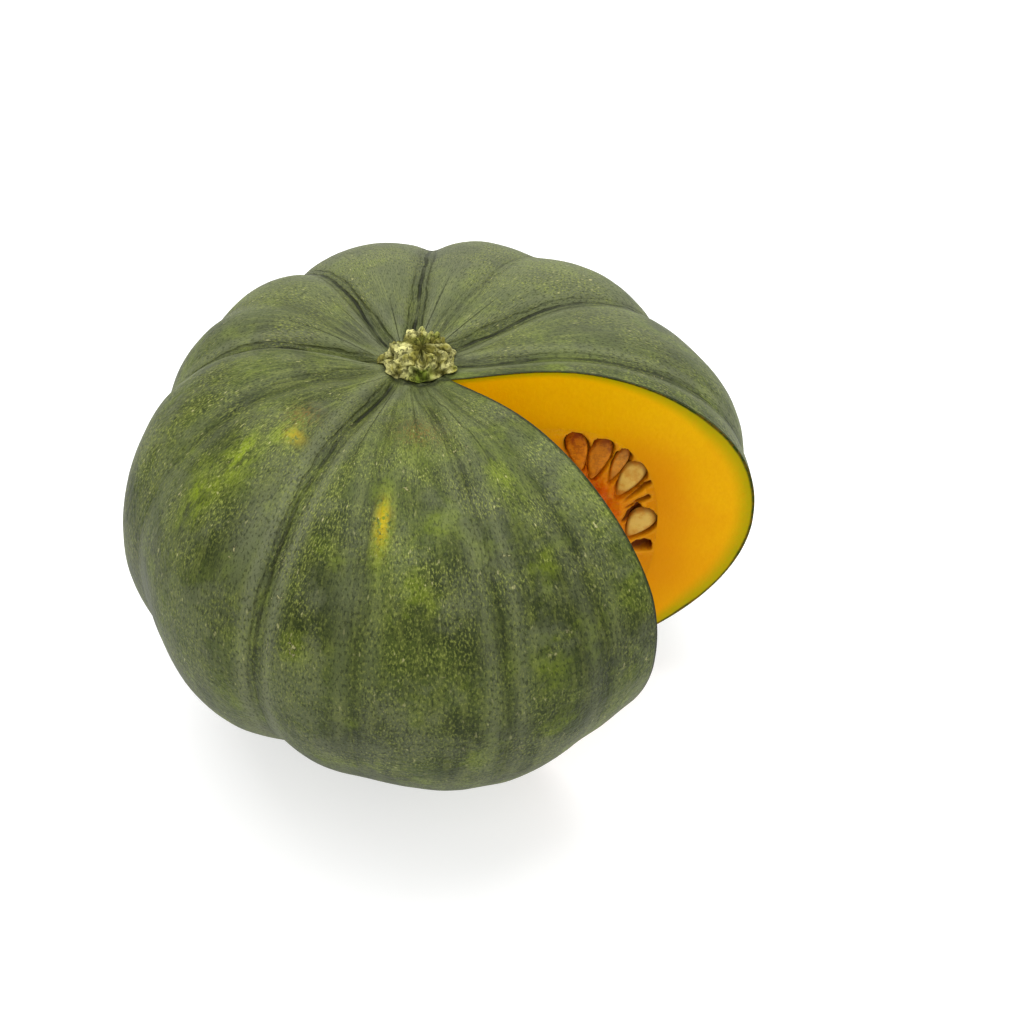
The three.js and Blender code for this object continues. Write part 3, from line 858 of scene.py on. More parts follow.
@dataclass
class Fruit:
    """Rind and flesh as one closed skin, with the notch and the cavity wall."""

    columns: int = 360
    rows: int = 160
    cavity_columns: int = 120
    lanes: int = 26
    cap: int = 10
    lump_mm: tuple[float, float] = (0.55, 26.0)
    dimple_mm: tuple[float, float] = (0.16, 7.0)
    cut_wave_mm: tuple[float, float] = (0.35, 15.0)
    lining_mm: tuple[float, float] = (0.8, 6.0)
    bloom_beside: float = 3.6
    bloom_width: float = 2.4
    dense_width: float = 2.6
    extra_density: float = 3.0

    RIND, FLESH, LINING = 0, 1, 2

    def rind_marks(self, angle: Array, points: Array) -> dict[str, Array]:
        """Numbers on the rind that its finish reads: creases, bloom and painted sheen, ripe patches and
        positions.
        """
        r = np.hypot(points[..., 0], points[..., 1])
        z = points[..., 2]
        across = angle * SHAPE.radius
        steps = np.linalg.norm(np.diff(points, axis=0), axis=-1)
        along = r[:1] + np.concatenate([np.zeros((1, r.shape[1])), np.cumsum(steps, axis=0)])
        below = ramp(z, 20, -30)
        nearest, groove_mm = np.full(r.shape, 99.0), np.full(r.shape, 8.0)
        strength, bloom_and_painted_sheen = np.zeros(r.shape), np.zeros(r.shape)
        for groove in SHAPE.grooves:
            away = np.radians(degrees_between(np.degrees(angle), groove.at)) * r
            closer = np.abs(away) < nearest
            nearest = np.where(closer, np.abs(away), nearest)
            groove_mm = np.where(closer, away, groove_mm)
            depth = min(1.0, groove.crease)
            lasting = 0.7 + 0.3 * ramp(r, 62, 32)
            strength = np.where(closer, depth * lasting * (1 - 0.6 * below), strength)
            bloom_and_painted_sheen = np.maximum(bloom_and_painted_sheen, depth * bell(np.abs(away) - self.bloom_beside, self.bloom_width))
        # Upper far side: partly real bleached bloom, partly painted sheen where the top lobes catch more
        # light.
        back = np.clip(0.34 + points[..., 1] / 70, 0.0, 0.95)
        marks = {name: np.zeros(r.shape) for name in ("ripe", "lively", "rusty", "smooth")}
        for name, at, distance, half_width, half_length, amount in PATCHES:
            sideways = np.radians(degrees_between(np.degrees(angle), at)) * r
            spot = amount * bell(sideways, half_width) * bell(r - distance, half_length)
            marks[name] = np.maximum(marks[name], spot * (z > 0))
        return {
            "groove_mm": np.clip(groove_mm, -8, 8),
            "groove": strength * ramp(nearest, 8, 5) * ramp(r, 7, 11),
            "bloom_and_painted_sheen": np.maximum(bloom_and_painted_sheen, back * ramp(z, 12, 38) + 0.2 * bell(r - 8, 10.0)),
            "ring": self.stem_foot_shade(points),
            "cut_mm": self.from_cut(points),
            "across_mm": across,
            "along_mm": along,
            **marks,
        }

    def from_cut(self, points: Array) -> Array:
        """How far each place on the skin lies from the nearer cut, up to a centimetre."""
        nearest = np.full(points.shape[:-1], 10.0)
        for side in Side:
            along, across = SHAPE.face_axes(side)
            away = np.abs(points @ across - SHAPE.plane_offset(side))
            nearest = np.where(points @ along > 0, np.minimum(nearest, away), nearest)
        return nearest

    def stem_foot_shade(self, points: Array) -> Array:
        """Painted shade round the foot of the stem where it meets the skin, strongest on its front, shadow
        side.
        """
        x, y = points[..., 0] - Stem.centre[0], points[..., 1] - Stem.centre[1]
        from_stem = np.hypot(x, y)
        front = 0.35 + 0.65 * bell(degrees_between(np.degrees(np.arctan2(y, x)), 262.0), 75.0)
        return bell(from_stem - Stem.radius * 1.24, 1.0) * front * (points[..., 2] > 0)

    def outward(self, points: Array) -> Array:
        """Directions away from the fruit's middle, near enough to its normals for fine relief."""
        return unit(points * np.array([1.0, 1.0, 1.6]))

    def relief(self, points: Array, fade: Array) -> Array:
        """The rind's uneven growth, as moved points."""
        height = sum(depth * roughness_of(points, size, seed)
                     for seed, (depth, size) in enumerate((self.lump_mm, self.dimple_mm), start=1))
        return points + self.outward(points) * (height * fade)[..., None]

    def crowded_columns(self) -> Array:
        """Compass angles of the mesh columns, about four times denser in the grooves."""
        even = np.linspace(*SHAPE.span, 4000)
        density = np.ones(len(even))
        for groove in SHAPE.grooves:
            near = bell(degrees_between(np.degrees(even), groove.at), self.dense_width)
            density += self.extra_density * min(1.0, groove.crease) * near
        total = np.concatenate([[0.0], np.cumsum((density[1:] + density[:-1]) / 2)])
        return np.interp(np.linspace(0, total[-1], self.columns + 1), total, even)

    def build(self, materials: Sequence[Material]) -> Object:
        """Builds the piece with its three finishes."""
        draft = Draft()
        columns = self.crowded_columns()
        polars = SHAPE.rows(SHAPE.skin, self.rows, self.cap)
        skin, angle = SHAPE.on_columns(SHAPE.skin, columns, polars)
        marks = self.rind_marks(angle, skin)
        ends = np.minimum(columns - columns[0], columns[-1] - columns) / math.radians(6)
        skin = self.relief(skin, np.clip(np.broadcast_to(ends, skin.shape[:2]), 0, 1))
        inner_columns = np.linspace(*SHAPE.span, self.cavity_columns + 1)
        inner_polars = SHAPE.rows(SHAPE.cavity, self.rows, self.cap)
        wall, _ = SHAPE.on_columns(SHAPE.cavity, inner_columns, inner_polars)
        wall_ends = np.minimum(inner_columns - inner_columns[0], inner_columns[-1] - inner_columns)
        wall_fade = np.clip(wall_ends / math.radians(5), 0, 1)
        depth = self.lining_mm[0] * roughness_of(wall, self.lining_mm[1], 3) * wall_fade
        wall = wall + self.outward(wall) * np.abs(depth)[..., None]
        outer = draft.add(self.on_floor(skin), depth_mm=0.0, **marks)
        inner = draft.add(SHAPE.place(wall), wall_mm=0.0, depth_mm=20.0)
        draft.grid(outer, self.RIND)
        draft.grid(inner, self.LINING, flip=True)
        near_pole = 0.0005
        for surface, numbers, look in ((SHAPE.skin, outer, self.RIND), (SHAPE.cavity, inner, self.LINING)):
            for polar, row in ((near_pole, 0), (math.pi - near_pole, -1)):
                tip = self.on_floor(surface(0.0, polar) * np.array([0.0, 0.0, 1.0]))
                is_top, is_skin = row == 0, look == self.RIND
                draft.cap(numbers[row, :-1], tip, is_top != is_skin, look, depth_mm=0.0)
        self.add_cut_faces(draft, skin, wall, outer, inner)
        return draft.build("fruit", materials, sharp=32)

    def add_cut_faces(self, draft: Draft, skin: Array, wall: Array, outer: Array, inner: Array) -> None:
        """Fills each cut face between the skin's edge and the cavity's, row by row."""
        first, last = self.cap - 1, self.cap - 1 + self.rows
        rows = slice(first, last + 1)
        share = np.linspace(0, 1, self.lanes + 1)[1:-1]
        for side, column in ((Side.BACK, 0), (Side.FRONT, -1)):
            edge, hollow = skin[rows, column], wall[rows, column]
            lanes = edge[:, None] + (hollow - edge)[:, None] * share[None, :, None]
            to_edge, to_wall = (np.linalg.norm(lanes[:, :, None] - line, axis=-1).min(axis=-1)
                                for line in (edge, hollow))
            _, normal = SHAPE.face_axes(side)
            wave = self.cut_wave_mm[0] * roughness_of(lanes, self.cut_wave_mm[1], 4)
            calm = np.clip(np.minimum(to_edge, to_wall) / 4, 0, 1)
            calm[[0, -1]] = 0
            lanes = lanes + normal * (wave * calm)[..., None]
            near_core = ramp(np.hypot(lanes[..., 0], lanes[..., 1]), 80, 40)
            depth = to_edge * (1 + 1.8 * near_core)
            middle = draft.add(self.on_floor(lanes), depth_mm=depth, wall_mm=to_wall)
            numbers = np.concatenate([outer[rows, column, None], middle, inner[rows, column, None]], axis=1)
            draft.grid(numbers, self.FLESH, flip=side is Side.BACK)

    def on_floor(self, points: Array) -> Array:
        """Places points, with the lowest ones flat on the ground."""
        placed = SHAPE.place(points)
        placed[..., 2] = np.maximum(placed[..., 2], 0.0)
        return placed


# Patches on the rind: kind, compass angle, distance from the core line, half width, half length and
# strength.
PATCHES = (
    ("ripe", 267.3, 67.0, 1.5, 5.0, 1.0),
    ("ripe", 237.5, 48.0, 2.4, 2.0, 0.6),
    ("lively", 267.6, 67.0, 2.6, 12.0, 1.0),
    ("lively", 234.5, 49.0, 4.0, 6.0, 0.9),
    ("lively", 229.5, 59.0, 5.5, 9.0, 1.0),
    ("lively", 226.5, 70.0, 5.5, 9.0, 0.9),
    ("lively", 296.0, 58.0, 5.0, 12.0, 0.6),
    ("lively", 272.0, 45.0, 12.0, 14.0, 0.35),
    ("smooth", 242.5, 71.0, 5.5, 14.0, 0.9),
    ("smooth", 263.5, 82.0, 6.0, 6.0, 0.6),
    ("smooth", 282.7, 84.0, 5.0, 5.0, 0.6),
    ("rusty", 277.0, 37.0, 5.5, 6.0, 0.75),
    ("rusty", 233.4, 41.0, 3.5, 4.5, 0.8),
)


@dataclass
class Stem:
    """The corky stub, with flared knobs at its foot and a rough, broken-off top."""

    radius: float = 7.9
    height: float = 6.0
    gap: float = 0.3
    centre: tuple[float, float] = (3.7, 0.4)
    sides: int = 180
    rings: int = 84
    folds: int = 11
    fold_depth: float = 0.08
    grain_mm: tuple[float, float] = (0.5, 1.8)
    knob_mm: tuple[float, float] = (0.7, 3.6)
    # Compass angle, extra reach, extra rise and width in degrees of each knob.
    knobs: tuple[tuple[float, float, float, float], ...] = (
        (30, 0.1, 0.0, 16), (90, 0.08, 0.12, 40), (178, 0.34, -0.05, 15), (216, 0.24, -0.15, 13),
        (270, 0.0, -0.4, 26), (336, 0.18, 0.1, 15),
    )
    # How far out and how far up the stub's outline runs, from under its foot to its middle.
    outline: tuple[tuple[float, float], ...] = (
        (0.3, 0.0), (0.75, 0.0), (1.08, 0.02), (1.12, 0.1), (0.98, 0.28), (0.88, 0.5), (0.85, 0.72),
        (0.8, 0.92), (0.66, 1.0), (0.5, 0.98), (0.36, 0.92), (0.2, 0.86), (0.08, 0.84),
    )

    def seat(self, x: Array, y: Array) -> Array:
        """Height of the skin under the stub."""
        angle = np.arctan2(y, x)
        share = np.hypot(x, y) / SHAPE.plan(angle) / SHAPE.radius
        return SHAPE.skin(angle, np.arcsin(share ** (SHAPE.crown_fullness / 2)))[..., 2] + self.gap

    def build(self, material: Material) -> Object:
        """Builds the piece."""
        draft = Draft()
        steps = np.linspace(0, len(self.outline) - 1, self.rings)
        reach, up = (np.interp(steps, range(len(line)), line)[:, None] for line in zip(*self.outline))
        angle = np.linspace(0, TURN, self.sides, endpoint=False)[None]
        ring = np.stack(np.broadcast_arrays(np.cos(angle) * 10, np.sin(angle) * 10, up * 8), axis=-1)
        rough = roughness_of(ring, 3.2, 5)
        folds = self.fold_depth * np.cos(self.folds * angle + 5 * rough)
        wide = 1 + 0.13 * rough + folds * ramp(up, 0, 0.25)
        tall = 1 + 0.34 * rough + 1.2 * folds
        for at, extra_reach, extra_rise, width in self.knobs:
            near = bell(degrees_between(np.degrees(angle), at), width)
            wide = wide + extra_reach * near * np.minimum(1, reach)
            tall = tall + extra_rise * near
        r = self.radius * reach * wide
        x, y = self.centre[0] + r * np.cos(angle), self.centre[1] + r * np.sin(angle)
        middle = float(self.seat(*self.centre))
        rise = self.height * up * tall
        points = np.stack([x, y, self.seat(x, y) * (1 - up) + middle * up + rise], axis=-1)
        knobbly = sum(roughness_of(points, size, seed) * depth
                      for seed, (depth, size) in ((6, self.grain_mm), (8, self.knob_mm)))
        points[..., 2] += knobbly * np.clip(up * 6, 0, 1)
        # Painted shade under the flared foot and in the dip of the broken top.
        hollow = np.maximum(0.4 * ramp(reach, 0.4, 0.1) * (up > 0.3), 0.9 * bell(up, 0.06))
        young = bell(degrees_between(np.degrees(angle), 272), 22) * ramp(up, 0.95, 0.65)
        # Painted shade in the valleys of the folds.
        fold = 0.8 * np.clip(-folds / self.fold_depth - 0.1, 0, 1) * np.clip(up * 3, 0, 1)
        numbers = draft.add(SHAPE.place(points), hollow=hollow, young=young, fold=fold)
        draft.grid(numbers, flip=True, wrap=True)
        for row, flip in ((0, True), (-1, False)):
            draft.cap(numbers[row], SHAPE.place(points[row].mean(axis=0)), flip, hollow=0.4)
        return draft.build("stem_stub", [material], sharp=60)


@dataclass(frozen=True)
class Plane:
    """The upright plane of a pulp strip: compass angle and distance from the core line."""

    angle: float
    middle: float
    layers: tuple[float, float]

    def place(self, points: Array) -> Array:
        """Points given as out, across and up in the plane, to the fruit's frame."""
        out, across, up = np.moveaxis(np.asarray(points, dtype=float), -1, 0)
        side = self.middle + across
        out = out * float(SHAPE.plan(self.angle))
        cos, sin = math.cos(self.angle), math.sin(self.angle)
        return np.stack([out * cos - side * sin, out * sin + side * cos, up], axis=-1)


@dataclass(frozen=True)
class SeedPlace:
    """Where a seed lies in its strip's plane, and its size as shares of a usual seed's."""

    root: Array
    tilt: float
    across: float
    long: float
    wide: float
    roll: float


def drop_width(turn: Numbers) -> Numbers:
    """Width of a seed's drop-shaped outline, turning from its point at 0 round its blunt end at pi."""
    return np.sin(turn) * (0.82 - 0.36 * np.cos(turn))


@dataclass
class PulpBundle:
    """A strip of pulp in the cavity with the seeds that hang on it, and the cut face that it's at."""

    number: int
    plane: Plane
    side: Side | None = None
    inner: float = 34.0
    bow: float = 18.0
    low: float = -46.0
    high: float = 24.0
    ends: tuple[float, float] = (0.07, 0.9)
    thickness: float = 4.0
    strings: int = 7
    seed_rows: int = 7
    seed_size: tuple[float, float, float] = (16.0, 8.8, 3.0)
    spread: tuple[float, float] = (0.24, 0.82)
    fan: tuple[float, float] = (-50.0, 102.0)

    def line(self, share: Numbers) -> Array:
        """The strip's middle line in its plane, as out and up."""
        share = np.asarray(share, dtype=float)
        out = self.inner + self.bow * np.sin(math.pi * np.clip(share, 0, 1)) ** 0.8
        return np.stack([out, self.low + (self.high - self.low) * share], axis=-1)

    def tube(self, draft: Draft, path: Array, radius: Array, sides: int = 10) -> None:
        """Adds a closed string of pulp along a path in the plane's coordinates."""
        ahead = unit(np.gradient(path, axis=0))
        beside = unit(np.cross(ahead, np.array([0.0, 1.0, 0.001])))
        above = np.cross(ahead, beside)
        turn = np.linspace(0, TURN, sides, endpoint=False)[None, :, None]
        ring = np.cos(turn) * beside[:, None] + np.sin(turn) * above[:, None]
        points = path[:, None] + ring * radius[:, None, None]
        numbers = draft.add(SHAPE.place(self.plane.place(points)))
        draft.grid(numbers, wrap=True)
        for row, flip in ((0, True), (-1, False)):
            draft.cap(numbers[row], SHAPE.place(self.plane.place(path[row])), flip)

    def strings_along(self, draft: Draft, dice: random.Random) -> None:
        """Twisted strings that make up the strip."""
        share = np.linspace(*self.ends, 40)
        line = self.line(share)
        for k in range(self.strings):
            phase = TURN * k / self.strings + dice.uniform(-0.4, 0.4)
            twist = phase + share * dice.uniform(1.5, 4.0)
            off = self.thickness * 0.5 * (0.75 + 0.35 * np.sin(math.pi * share))
            out, across = line[:, 0] + off * np.cos(twist), off * np.sin(twist) * 1.1
            path = np.stack([out, across, line[:, 1]], axis=-1)
            radius = dice.uniform(1.3, 2.1) * (0.75 + 0.4 * np.sin(share * 11 + phase)) * 0.8 + 0.5
            self.tube(draft, path, radius)

    def seed_places(self, dice: random.Random) -> list[SeedPlace]:
        """Places of the hanging seeds, fanned outwards in two layers."""
        places = []
        narrow = min(1.0, float(SHAPE.plan(self.plane.angle)))
        for row in range(self.seed_rows):
            step = row / (self.seed_rows - 1)
            tilt = math.radians(self.fan[0] + (self.fan[1] - self.fan[0]) * step)
            root = self.line(self.spread[0] + (self.spread[1] - self.spread[0]) * step)
            for layer in self.plane.layers:
                turn = tilt + dice.uniform(-0.1, 0.1)
                size = dice.uniform(0.92, 1.02) * narrow
                places.append(SeedPlace(root, turn, layer, size, size, dice.uniform(-0.4, 0.4)))
        return places

    def in_pocket(self, pocket: "Pocket", dice: random.Random) -> SeedPlace:
        """Place of the seed in a pocket of the cut bed."""
        stretch = float(SHAPE.plan(self.plane.angle))
        root = np.array([pocket.root[0] / stretch, pocket.root[1]])
        reach = np.array([pocket.tip[0] / stretch, pocket.tip[1]]) - root
        towards_cut = -1.0 if self.side is Side.BACK else 1.0
        across = towards_cut * (FACE_OFFSET - pocket.seed_depth)
        tilt = math.atan2(reach[1], reach[0])
        long, wide = float(np.hypot(*reach)) / self.seed_size[0], pocket.width / self.seed_size[1]
        return SeedPlace(root, tilt, across, long, wide, dice.uniform(-0.12, 0.12))

    def add_seed(self, draft: Draft, place: SeedPlace, swell: float = 1.0, thin: float = 1.0,
                 veil: float = 0.0) -> None:
        """Adds a flat drop with a raised rim, its point at the root.

        Args:
            draft: The mesh that gets it.
            place: Where it lies, and its size.
            swell: Makes it wider and longer, for the pocket of pulp round a seed.
            thin: Share of the seed's thickness.
            veil: How far a film of pulp covers it.
        """
        length, width = self.seed_size[0] * place.long * swell, self.seed_size[1] * place.wide * swell
        thick = self.seed_size[2] * place.wide
        turns, shells, widest = 40, 9, 0.56
        turn = np.linspace(0, TURN, turns, endpoint=False)[None]
        share = np.linspace(0, 1, shells)[1:, None]
        along = widest + share * (0.5 - 0.5 * np.cos(turn) - widest)
        flat = share * drop_width(turn) / 2
        crown = np.sqrt(np.clip(1 - share ** 3.0, 0, 1)) * (0.8 + 0.2 * bell(share - 0.8, 0.12))
        for side in (1, -1):
            lift = side * thin * thick / 2 * crown * np.ones_like(turn)
            rows = self.seed_points(along, flat, lift, place, length, width)
            numbers = draft.add(rows, rim=share, along=along, veil=veil)
            middle = np.array([widest, 0.0, side * thin * thick * 0.4])
            tip = self.seed_points(*middle, place, length, width)
            draft.cap(numbers[0], tip, side > 0, rim=0.0, along=widest, veil=veil)
            draft.grid(numbers, flip=side > 0, wrap=True)

    def seed_points(self, along: Array, flat: Array, lift: Array, place: SeedPlace, length: float,
                    width: float) -> Array:
        """A seed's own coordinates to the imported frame."""
        cos, sin = math.cos(place.tilt), math.sin(place.tilt)
        beside = flat * width * math.cos(place.roll) - lift * math.sin(place.roll)
        side = flat * width * math.sin(place.roll) + lift * math.cos(place.roll)
        out = place.root[0] + along * length * cos - beside * sin
        up = place.root[1] + along * length * sin + beside * cos
        return SHAPE.place(self.plane.place(np.stack([out, place.across + side, up], axis=-1)))

    def build(self, pulp: Material, coat: Material) -> list[Object]:
        """Builds the strip of strings and pockets, and the seeds on it."""
        dice = random.Random(40 + self.number)
        places = self.seed_places(dice)
        strip, seeds = Draft(), Draft()
        self.strings_along(strip, dice)
        outer_layer = self.plane.layers[1]
        if self.side is not None:
            places = [place for place in places if place.across * outer_layer > 0]
            for pocket in POCKETS:
                if pocket.veil is not None:
                    self.add_seed(seeds, self.in_pocket(pocket, dice), veil=pocket.veil)
        for place in places:
            self.add_seed(seeds, place)
            behind = math.copysign(1.9, place.across)
            husk = replace(place, tilt=place.tilt + dice.uniform(-0.12, 0.12), across=place.across + behind,
                           roll=place.roll + dice.uniform(-0.2, 0.2))
            self.add_seed(strip, husk, swell=1.12, thin=0.45)
        return [
            strip.build(f"pulp_strip_{self.number}", [pulp], sharp=70),
            seeds.build(f"seeds_{self.number}", [coat], sharp=70),
        ]


# The largest width that drop_width gives.
DROP_WIDEST = 0.887


@dataclass(frozen=True)
class Pocket:
    """A seed's pocket in the cut bed, as distances along the cut face and up.

    Its veil says how far pulp covers the seed in it; without one it's empty.
    """

    tip: tuple[float, float]
    root: tuple[float, float]
    width: float
    veil: float | None = 0.3
    depth: float = 3.0
    seed_depth: float = 1.8
    # How dark the pocket's floor is painted, brown pulp and painted shade together.
    stain: float = 0.25

    def inside(self, out: Array, up: Array) -> tuple[Array, Array]:
        """Distance inside its outline in millimetres and share of the way from root to tip."""
        axis = np.array(self.tip) - np.array(self.root)
        length = float(np.hypot(*axis))
        ahead = axis / length
        along = ((out - self.root[0]) * ahead[0] + (up - self.root[1]) * ahead[1]) / length
        sideways = np.abs((up - self.root[1]) * ahead[0] - (out - self.root[0]) * ahead[1])
        turn = np.arccos(np.clip(1 - 2 * (along * 0.92 + 0.04), -1, 1))
        half = self.width / 2 * drop_width(turn) / DROP_WIDEST
        beyond = np.maximum(0, np.abs(along - 0.5) - 0.5) * length
        return half - sideways - beyond, np.clip(along, 0, 1)


# The pockets that a cut opens, from the crown round to the base.
POCKETS = (
    Pocket((36.5, 20.5), (41.5, 9.0), 6.6, 0.4),
    Pocket((45.2, 24.2), (48.0, 11.5), 6.2, 1.0, stain=0.6),
    Pocket((53.6, 23.0), (50.8, 8.8), 6.4, 0.9, stain=0.6),
    Pocket((59.6, 20.2), (55.8, 8.5), 4.0, 0.75, stain=0.5),
    Pocket((63.8, 16.0), (58.2, 3.6), 6.6, 0.1),
    Pocket((66.7, 10.4), (60.2, 2.9), 0.9, None, 1.2, stain=0.8),
    Pocket((67.1, 5.4), (61.0, 0.6), 0.9, None, 1.2, stain=0.8),
    Pocket((64.8, 1.8), (60.3, -4.8), 2.2, None, 2.6, stain=1.0),
    Pocket((67.8, 0.0), (62.2, -10.6), 7.8, 0.12),
    Pocket((69.0, -11.6), (62.8, -14.0), 3.4, None, 3.4, stain=1.0),
    Pocket((63.5, -26.5), (55.5, -15.5), 8.0, 0.2),
    Pocket((55.0, -35.0), (49.5, -22.5), 7.6, 0.3),
    Pocket((44.5, -38.5), (43.0, -26.0), 7.0, 0.4),
)


@dataclass
class CutBed:
    """The soft pulp behind one cut face, from the strip out to the flesh, with its open pockets."""

    side: Side
    rows: int = 230
    lanes: int = 84
    into_flesh: float = 1.6
    behind_cut: float = 0.6
    thickness: float = 5.2
    from_core: float = 26.0
    inwards: float = 6.0
    wander_mm: tuple[float, float] = (0.5, 3.0)
    lump_mm: tuple[float, float] = (0.25, 5.0)
    grain_mm: tuple[float, float] = (0.12, 1.5)
    tuck_mm: float = 0.25
    sag_mm: tuple[float, float] = (1.6, 4.0)
    pocket_edge: float = 0.7

    def outline(self) -> tuple[Array, Array]:
        """The edges at the flesh and at the strip, from top to bottom, as out and up."""
        polars = np.linspace(0.02, math.pi - 0.02, 1200)
        column = np.array([SHAPE.span[0 if self.side is Side.BACK else 1]])
        points, _ = SHAPE.on_columns(SHAPE.cavity, column, polars)
        towards, _ = SHAPE.face_axes(self.side)
        wall = np.stack([points[:, 0] @ towards, points[:, 0, 2]], axis=-1)
        wall = wall[wall[:, 0] > self.from_core]
        steps = np.concatenate([[0.0], np.cumsum(np.linalg.norm(np.diff(wall, axis=0), axis=1))])
        even = np.linspace(0, steps[-1], self.rows)
        wall = np.stack([np.interp(even, steps, wall[:, k]) for k in (0, 1)], axis=-1)
        ahead = np.gradient(wall, axis=0)
        outwards = unit(np.stack([-ahead[:, 1], ahead[:, 0]], axis=-1))
        share = 1 - np.linspace(0.1, 0.93, self.rows)
        stretch = float(SHAPE.plan(math.radians(SHAPE.face_angle[self.side])))
        strip = PulpBundle(0, pulp_planes()[0]).line(share) * np.array([stretch, 1.0])
        return wall + outwards * self.into_flesh, strip - np.array([self.inwards, 0.0])

    def build(self, material: Material) -> Object:
        """Builds the piece as a closed slab whose front is a height map."""
        wall, strip = self.outline()
        share = np.linspace(0, 1, self.lanes)[None, :, None]
        flat = wall[:, None] * (1 - share) + strip[:, None] * share
        out, up = flat[..., 0], flat[..., 1]
        spots = np.stack([out, up, np.zeros(out.shape)], axis=-1)
        wander, lumps, grain = self.wander_mm, self.lump_mm, self.grain_mm
        wavy_out = out + wander[0] * roughness_of(spots, wander[1], 11)
        wavy_up = up + wander[0] * roughness_of(spots, wander[1], 12)
        from_wall = share[..., 0] * np.linalg.norm(strip - wall, axis=1)[:, None] - self.into_flesh
        open_share = np.clip(from_wall / 3.0, 0, 1)
        rough = lumps[0] * roughness_of(spots, lumps[1], 13) + grain[0] * roughness_of(spots, grain[1], 14)
        depth = (self.behind_cut + rough) * open_share + self.tuck_mm * np.clip(-from_wall, 0, 1)
        # Towards the core the bed sags away from the cut.
        sag, size = self.sag_mm
        depth = depth + sag * ramp(share[..., 0], 0.55, 1.0) * (1 + roughness_of(spots, size, 15))
        stain, ridge, deepest = np.zeros((3, *out.shape))
        for pocket in POCKETS:
            inside, along = pocket.inside(wavy_out, wavy_up)
            dug = np.clip(inside / self.pocket_edge + 0.5, 0, 1)
            dug = dug * dug * (3 - 2 * dug)
            deepest = np.maximum(deepest, pocket.depth * (0.3 + 0.7 * along) * dug)
            # Brown pulp with painted shade in each pocket: a dark rim, stronger towards the tip, over a
            # floor as dark as its stain.
            outline = bell(inside - 0.2, self.pocket_edge) * (0.3 + 0.7 * along)
            stain = np.maximum(stain, np.maximum(outline, pocket.stain * dug))
            ridge = np.maximum(ridge, bell(inside + 1.0, 0.5))
        depth = depth + deepest
        ridge = ridge * np.clip(1 - deepest * 2, 0, 1) * np.clip(1.3 - share[..., 0] * 1.6, 0, 1)
        plane = SHAPE.plane_offset(self.side)
        is_back = self.side is Side.BACK
        into = 1.0 if is_back else -1.0
        towards, normal = SHAPE.face_axes(self.side)

        def placed(away: Array) -> Array:
            points = out[..., None] * towards + (plane + into * away)[..., None] * normal
            points[..., 2] = up
            return SHAPE.place(points)

        draft = Draft()
        marks = {"inward": share[..., 0], "pocket": stain, "ridge": ridge}
        front = draft.add(placed(depth), **marks)
        back = draft.add(placed(np.full(out.shape, self.behind_cut + self.thickness)), **marks)
        draft.grid(front, flip=not is_back)
        draft.grid(back, flip=is_back)
        rings = ((sheet[0], sheet[:, -1], sheet[-1, ::-1], sheet[::-1, 0]) for sheet in (front, back))
        for edges in zip(*rings):
            draft.grid(np.stack(edges), flip=is_back)
        return draft.build(f"cut_bed_{self.side.value}", [material], sharp=70)


# How far behind its cut face the plane of an outer strip stands.
FACE_OFFSET = 6.5


def pulp_planes() -> list[Plane]:
    """One plane behind each cut face, and four between them."""
    back, front = (math.radians(SHAPE.face_angle[side]) for side in (Side.BACK, Side.FRONT))
    inside = [Plane(math.radians(at), 0.0, (-2.7, 2.7)) for at in (58, 112, 168, 232)]
    return [
        Plane(back, SHAPE.plane_offset(Side.BACK) + FACE_OFFSET, (-2.8, 2.8)),
        *inside,
        Plane(front, SHAPE.plane_offset(Side.FRONT) - FACE_OFFSET, (2.8, -2.8)),
    ]


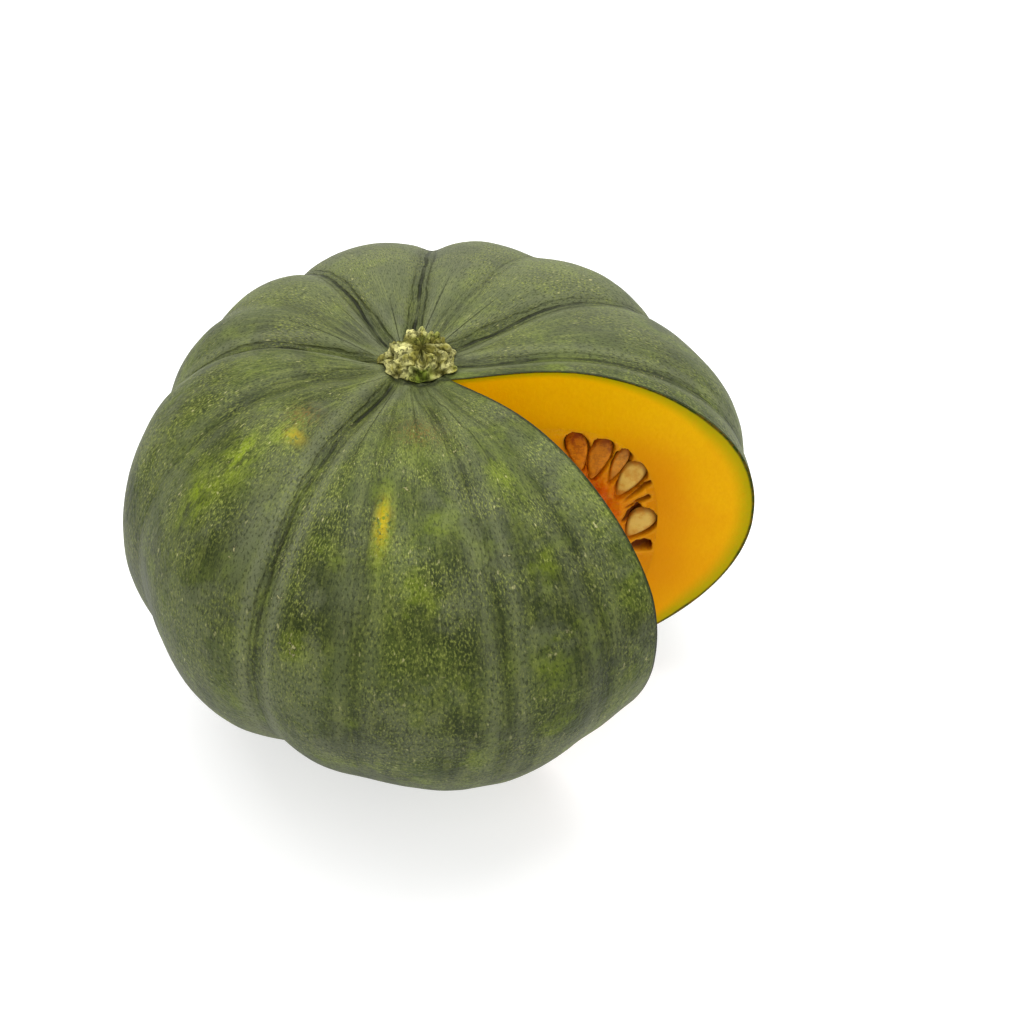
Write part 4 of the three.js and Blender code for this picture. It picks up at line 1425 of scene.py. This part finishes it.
@dataclass(frozen=True)
class Studio:
    """Camera, lights and ground, as for a product picture on white."""

    elevation: float = 38.99
    distance: float = 529.2
    aside: float = -29.5
    above: float = 9.5
    focal_share: float = 1917 / 1024
    paper: str = "#c2c2c2"
    paper_glow: float = 0.6
    room_light: float = 0.7
    # Name, place and size in metres, and watts of each soft box.
    lights: tuple[tuple[str, tuple[float, float, float], float, float], ...] = (
        ("key", (-0.1, 0.2, 1.2), 1.2, 12.2),
        ("fill", (0.25, -1.0, 1.0), 1.0, 3.2),
        ("rim", (0.25, 0.45, 1.15), 1.1, 6.0),
    )

    def build_camera(self) -> None:
        """Puts the camera where the picture was taken from, over the side with the notch."""
        tilt = math.radians(self.elevation)
        right = Vector((1, 0, 0))
        up = Vector((0, math.sin(tilt), math.cos(tilt)))
        back = Vector((0, -math.cos(tilt), math.sin(tilt)))
        data = bpy.data.cameras.new("camera")
        data.sensor_width = 36.0
        data.lens = self.focal_share * data.sensor_width
        data.clip_end = 20.0
        camera = in_scene("camera", data)
        spot = (back * self.distance - right * self.aside - up * self.above + Vector(CORE_MM)) * MM
        camera.matrix_world = Matrix.Translation(spot) @ Matrix((right, up, back)).transposed().to_4x4()
        bpy.context.scene.camera = camera

    def build_light(self, name: str, place: tuple, size: float, power: float) -> None:
        """A square soft box that faces the squash."""
        data = bpy.data.lights.new(name, "AREA")
        data.size = size
        data.energy = power
        light = in_scene(name, data)
        spot = Vector(place)
        aim = (Vector((0, 0, 0.05)) - spot).to_track_quat("-Z", "Y")
        light.matrix_world = Matrix.Translation(spot) @ aim.to_matrix().to_4x4()

    def build_ground(self) -> None:
        """A wide white sheet of paper under the squash."""
        mesh = bpy.data.meshes.new("ground")
        reach = 6.0
        corners = [(-reach, -reach, 0), (reach, -reach, 0), (reach, reach, 0), (-reach, reach, 0)]
        mesh.from_pydata(corners, [], [(0, 1, 2, 3)])
        paper = bpy.data.materials.new("white_paper")
        paper.use_nodes = True
        shader = paper.node_tree.nodes["Principled BSDF"]
        for name, value in (
            ("Base Color", linear(self.paper)),
            ("Roughness", 0.9),
            ("Emission Color", (1, 1, 1, 1)),
            ("Emission Strength", self.paper_glow),
        ):
            shader.inputs[name].default_value = value
        mesh.materials.append(paper)
        ground = in_scene("ground", mesh)
        ground.location.z = -0.3 * MM
        ground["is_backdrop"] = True

    def build(self) -> None:
        """Builds the whole set."""
        self.build_camera()
        for light in self.lights:
            self.build_light(*light)
        self.build_ground()
        world = bpy.data.worlds.new("white_room")
        world.use_nodes = True
        backdrop = world.node_tree.nodes["Background"]
        backdrop.inputs["Color"].default_value = (1, 1, 1, 1)
        backdrop.inputs["Strength"].default_value = self.room_light
        bpy.context.scene.world = world
        bpy.context.scene.view_settings.view_transform = "Standard"


def main() -> None:
    """Builds the set and every piece."""
    logging.basicConfig(level=logging.INFO, format="%(name)s: %(message)s")
    Studio().build()
    looks = [GrownRind().make(), CutFlesh().make(), CavityLining().make()]
    settle_piece(Fruit().build(looks), ["fruit"])
    settle_piece(Stem().build(DryCork().make()), ["stem"])
    pulp, coat, bed = WetPulp().make(), SeedCoat().make(), SoftBed().make()
    at_cut = {1: Side.BACK, 6: Side.FRONT}
    for number, plane in enumerate(pulp_planes(), start=1):
        pieces = PulpBundle(number, plane, at_cut.get(number)).build(pulp, coat)
        if number in at_cut:
            pieces.append(CutBed(at_cut[number]).build(bed))
        for piece in pieces:
            settle_piece(piece, [f"pulp_with_seeds_{number}"])
    bpy.context.view_layer.update()
    boxes = {"cad": CAD_BOX, "visual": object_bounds()}
    boxes = {name: [[float(v) for v in corner] for corner in box] for name, box in boxes.items()}


if __name__ == "__main__":
    main()
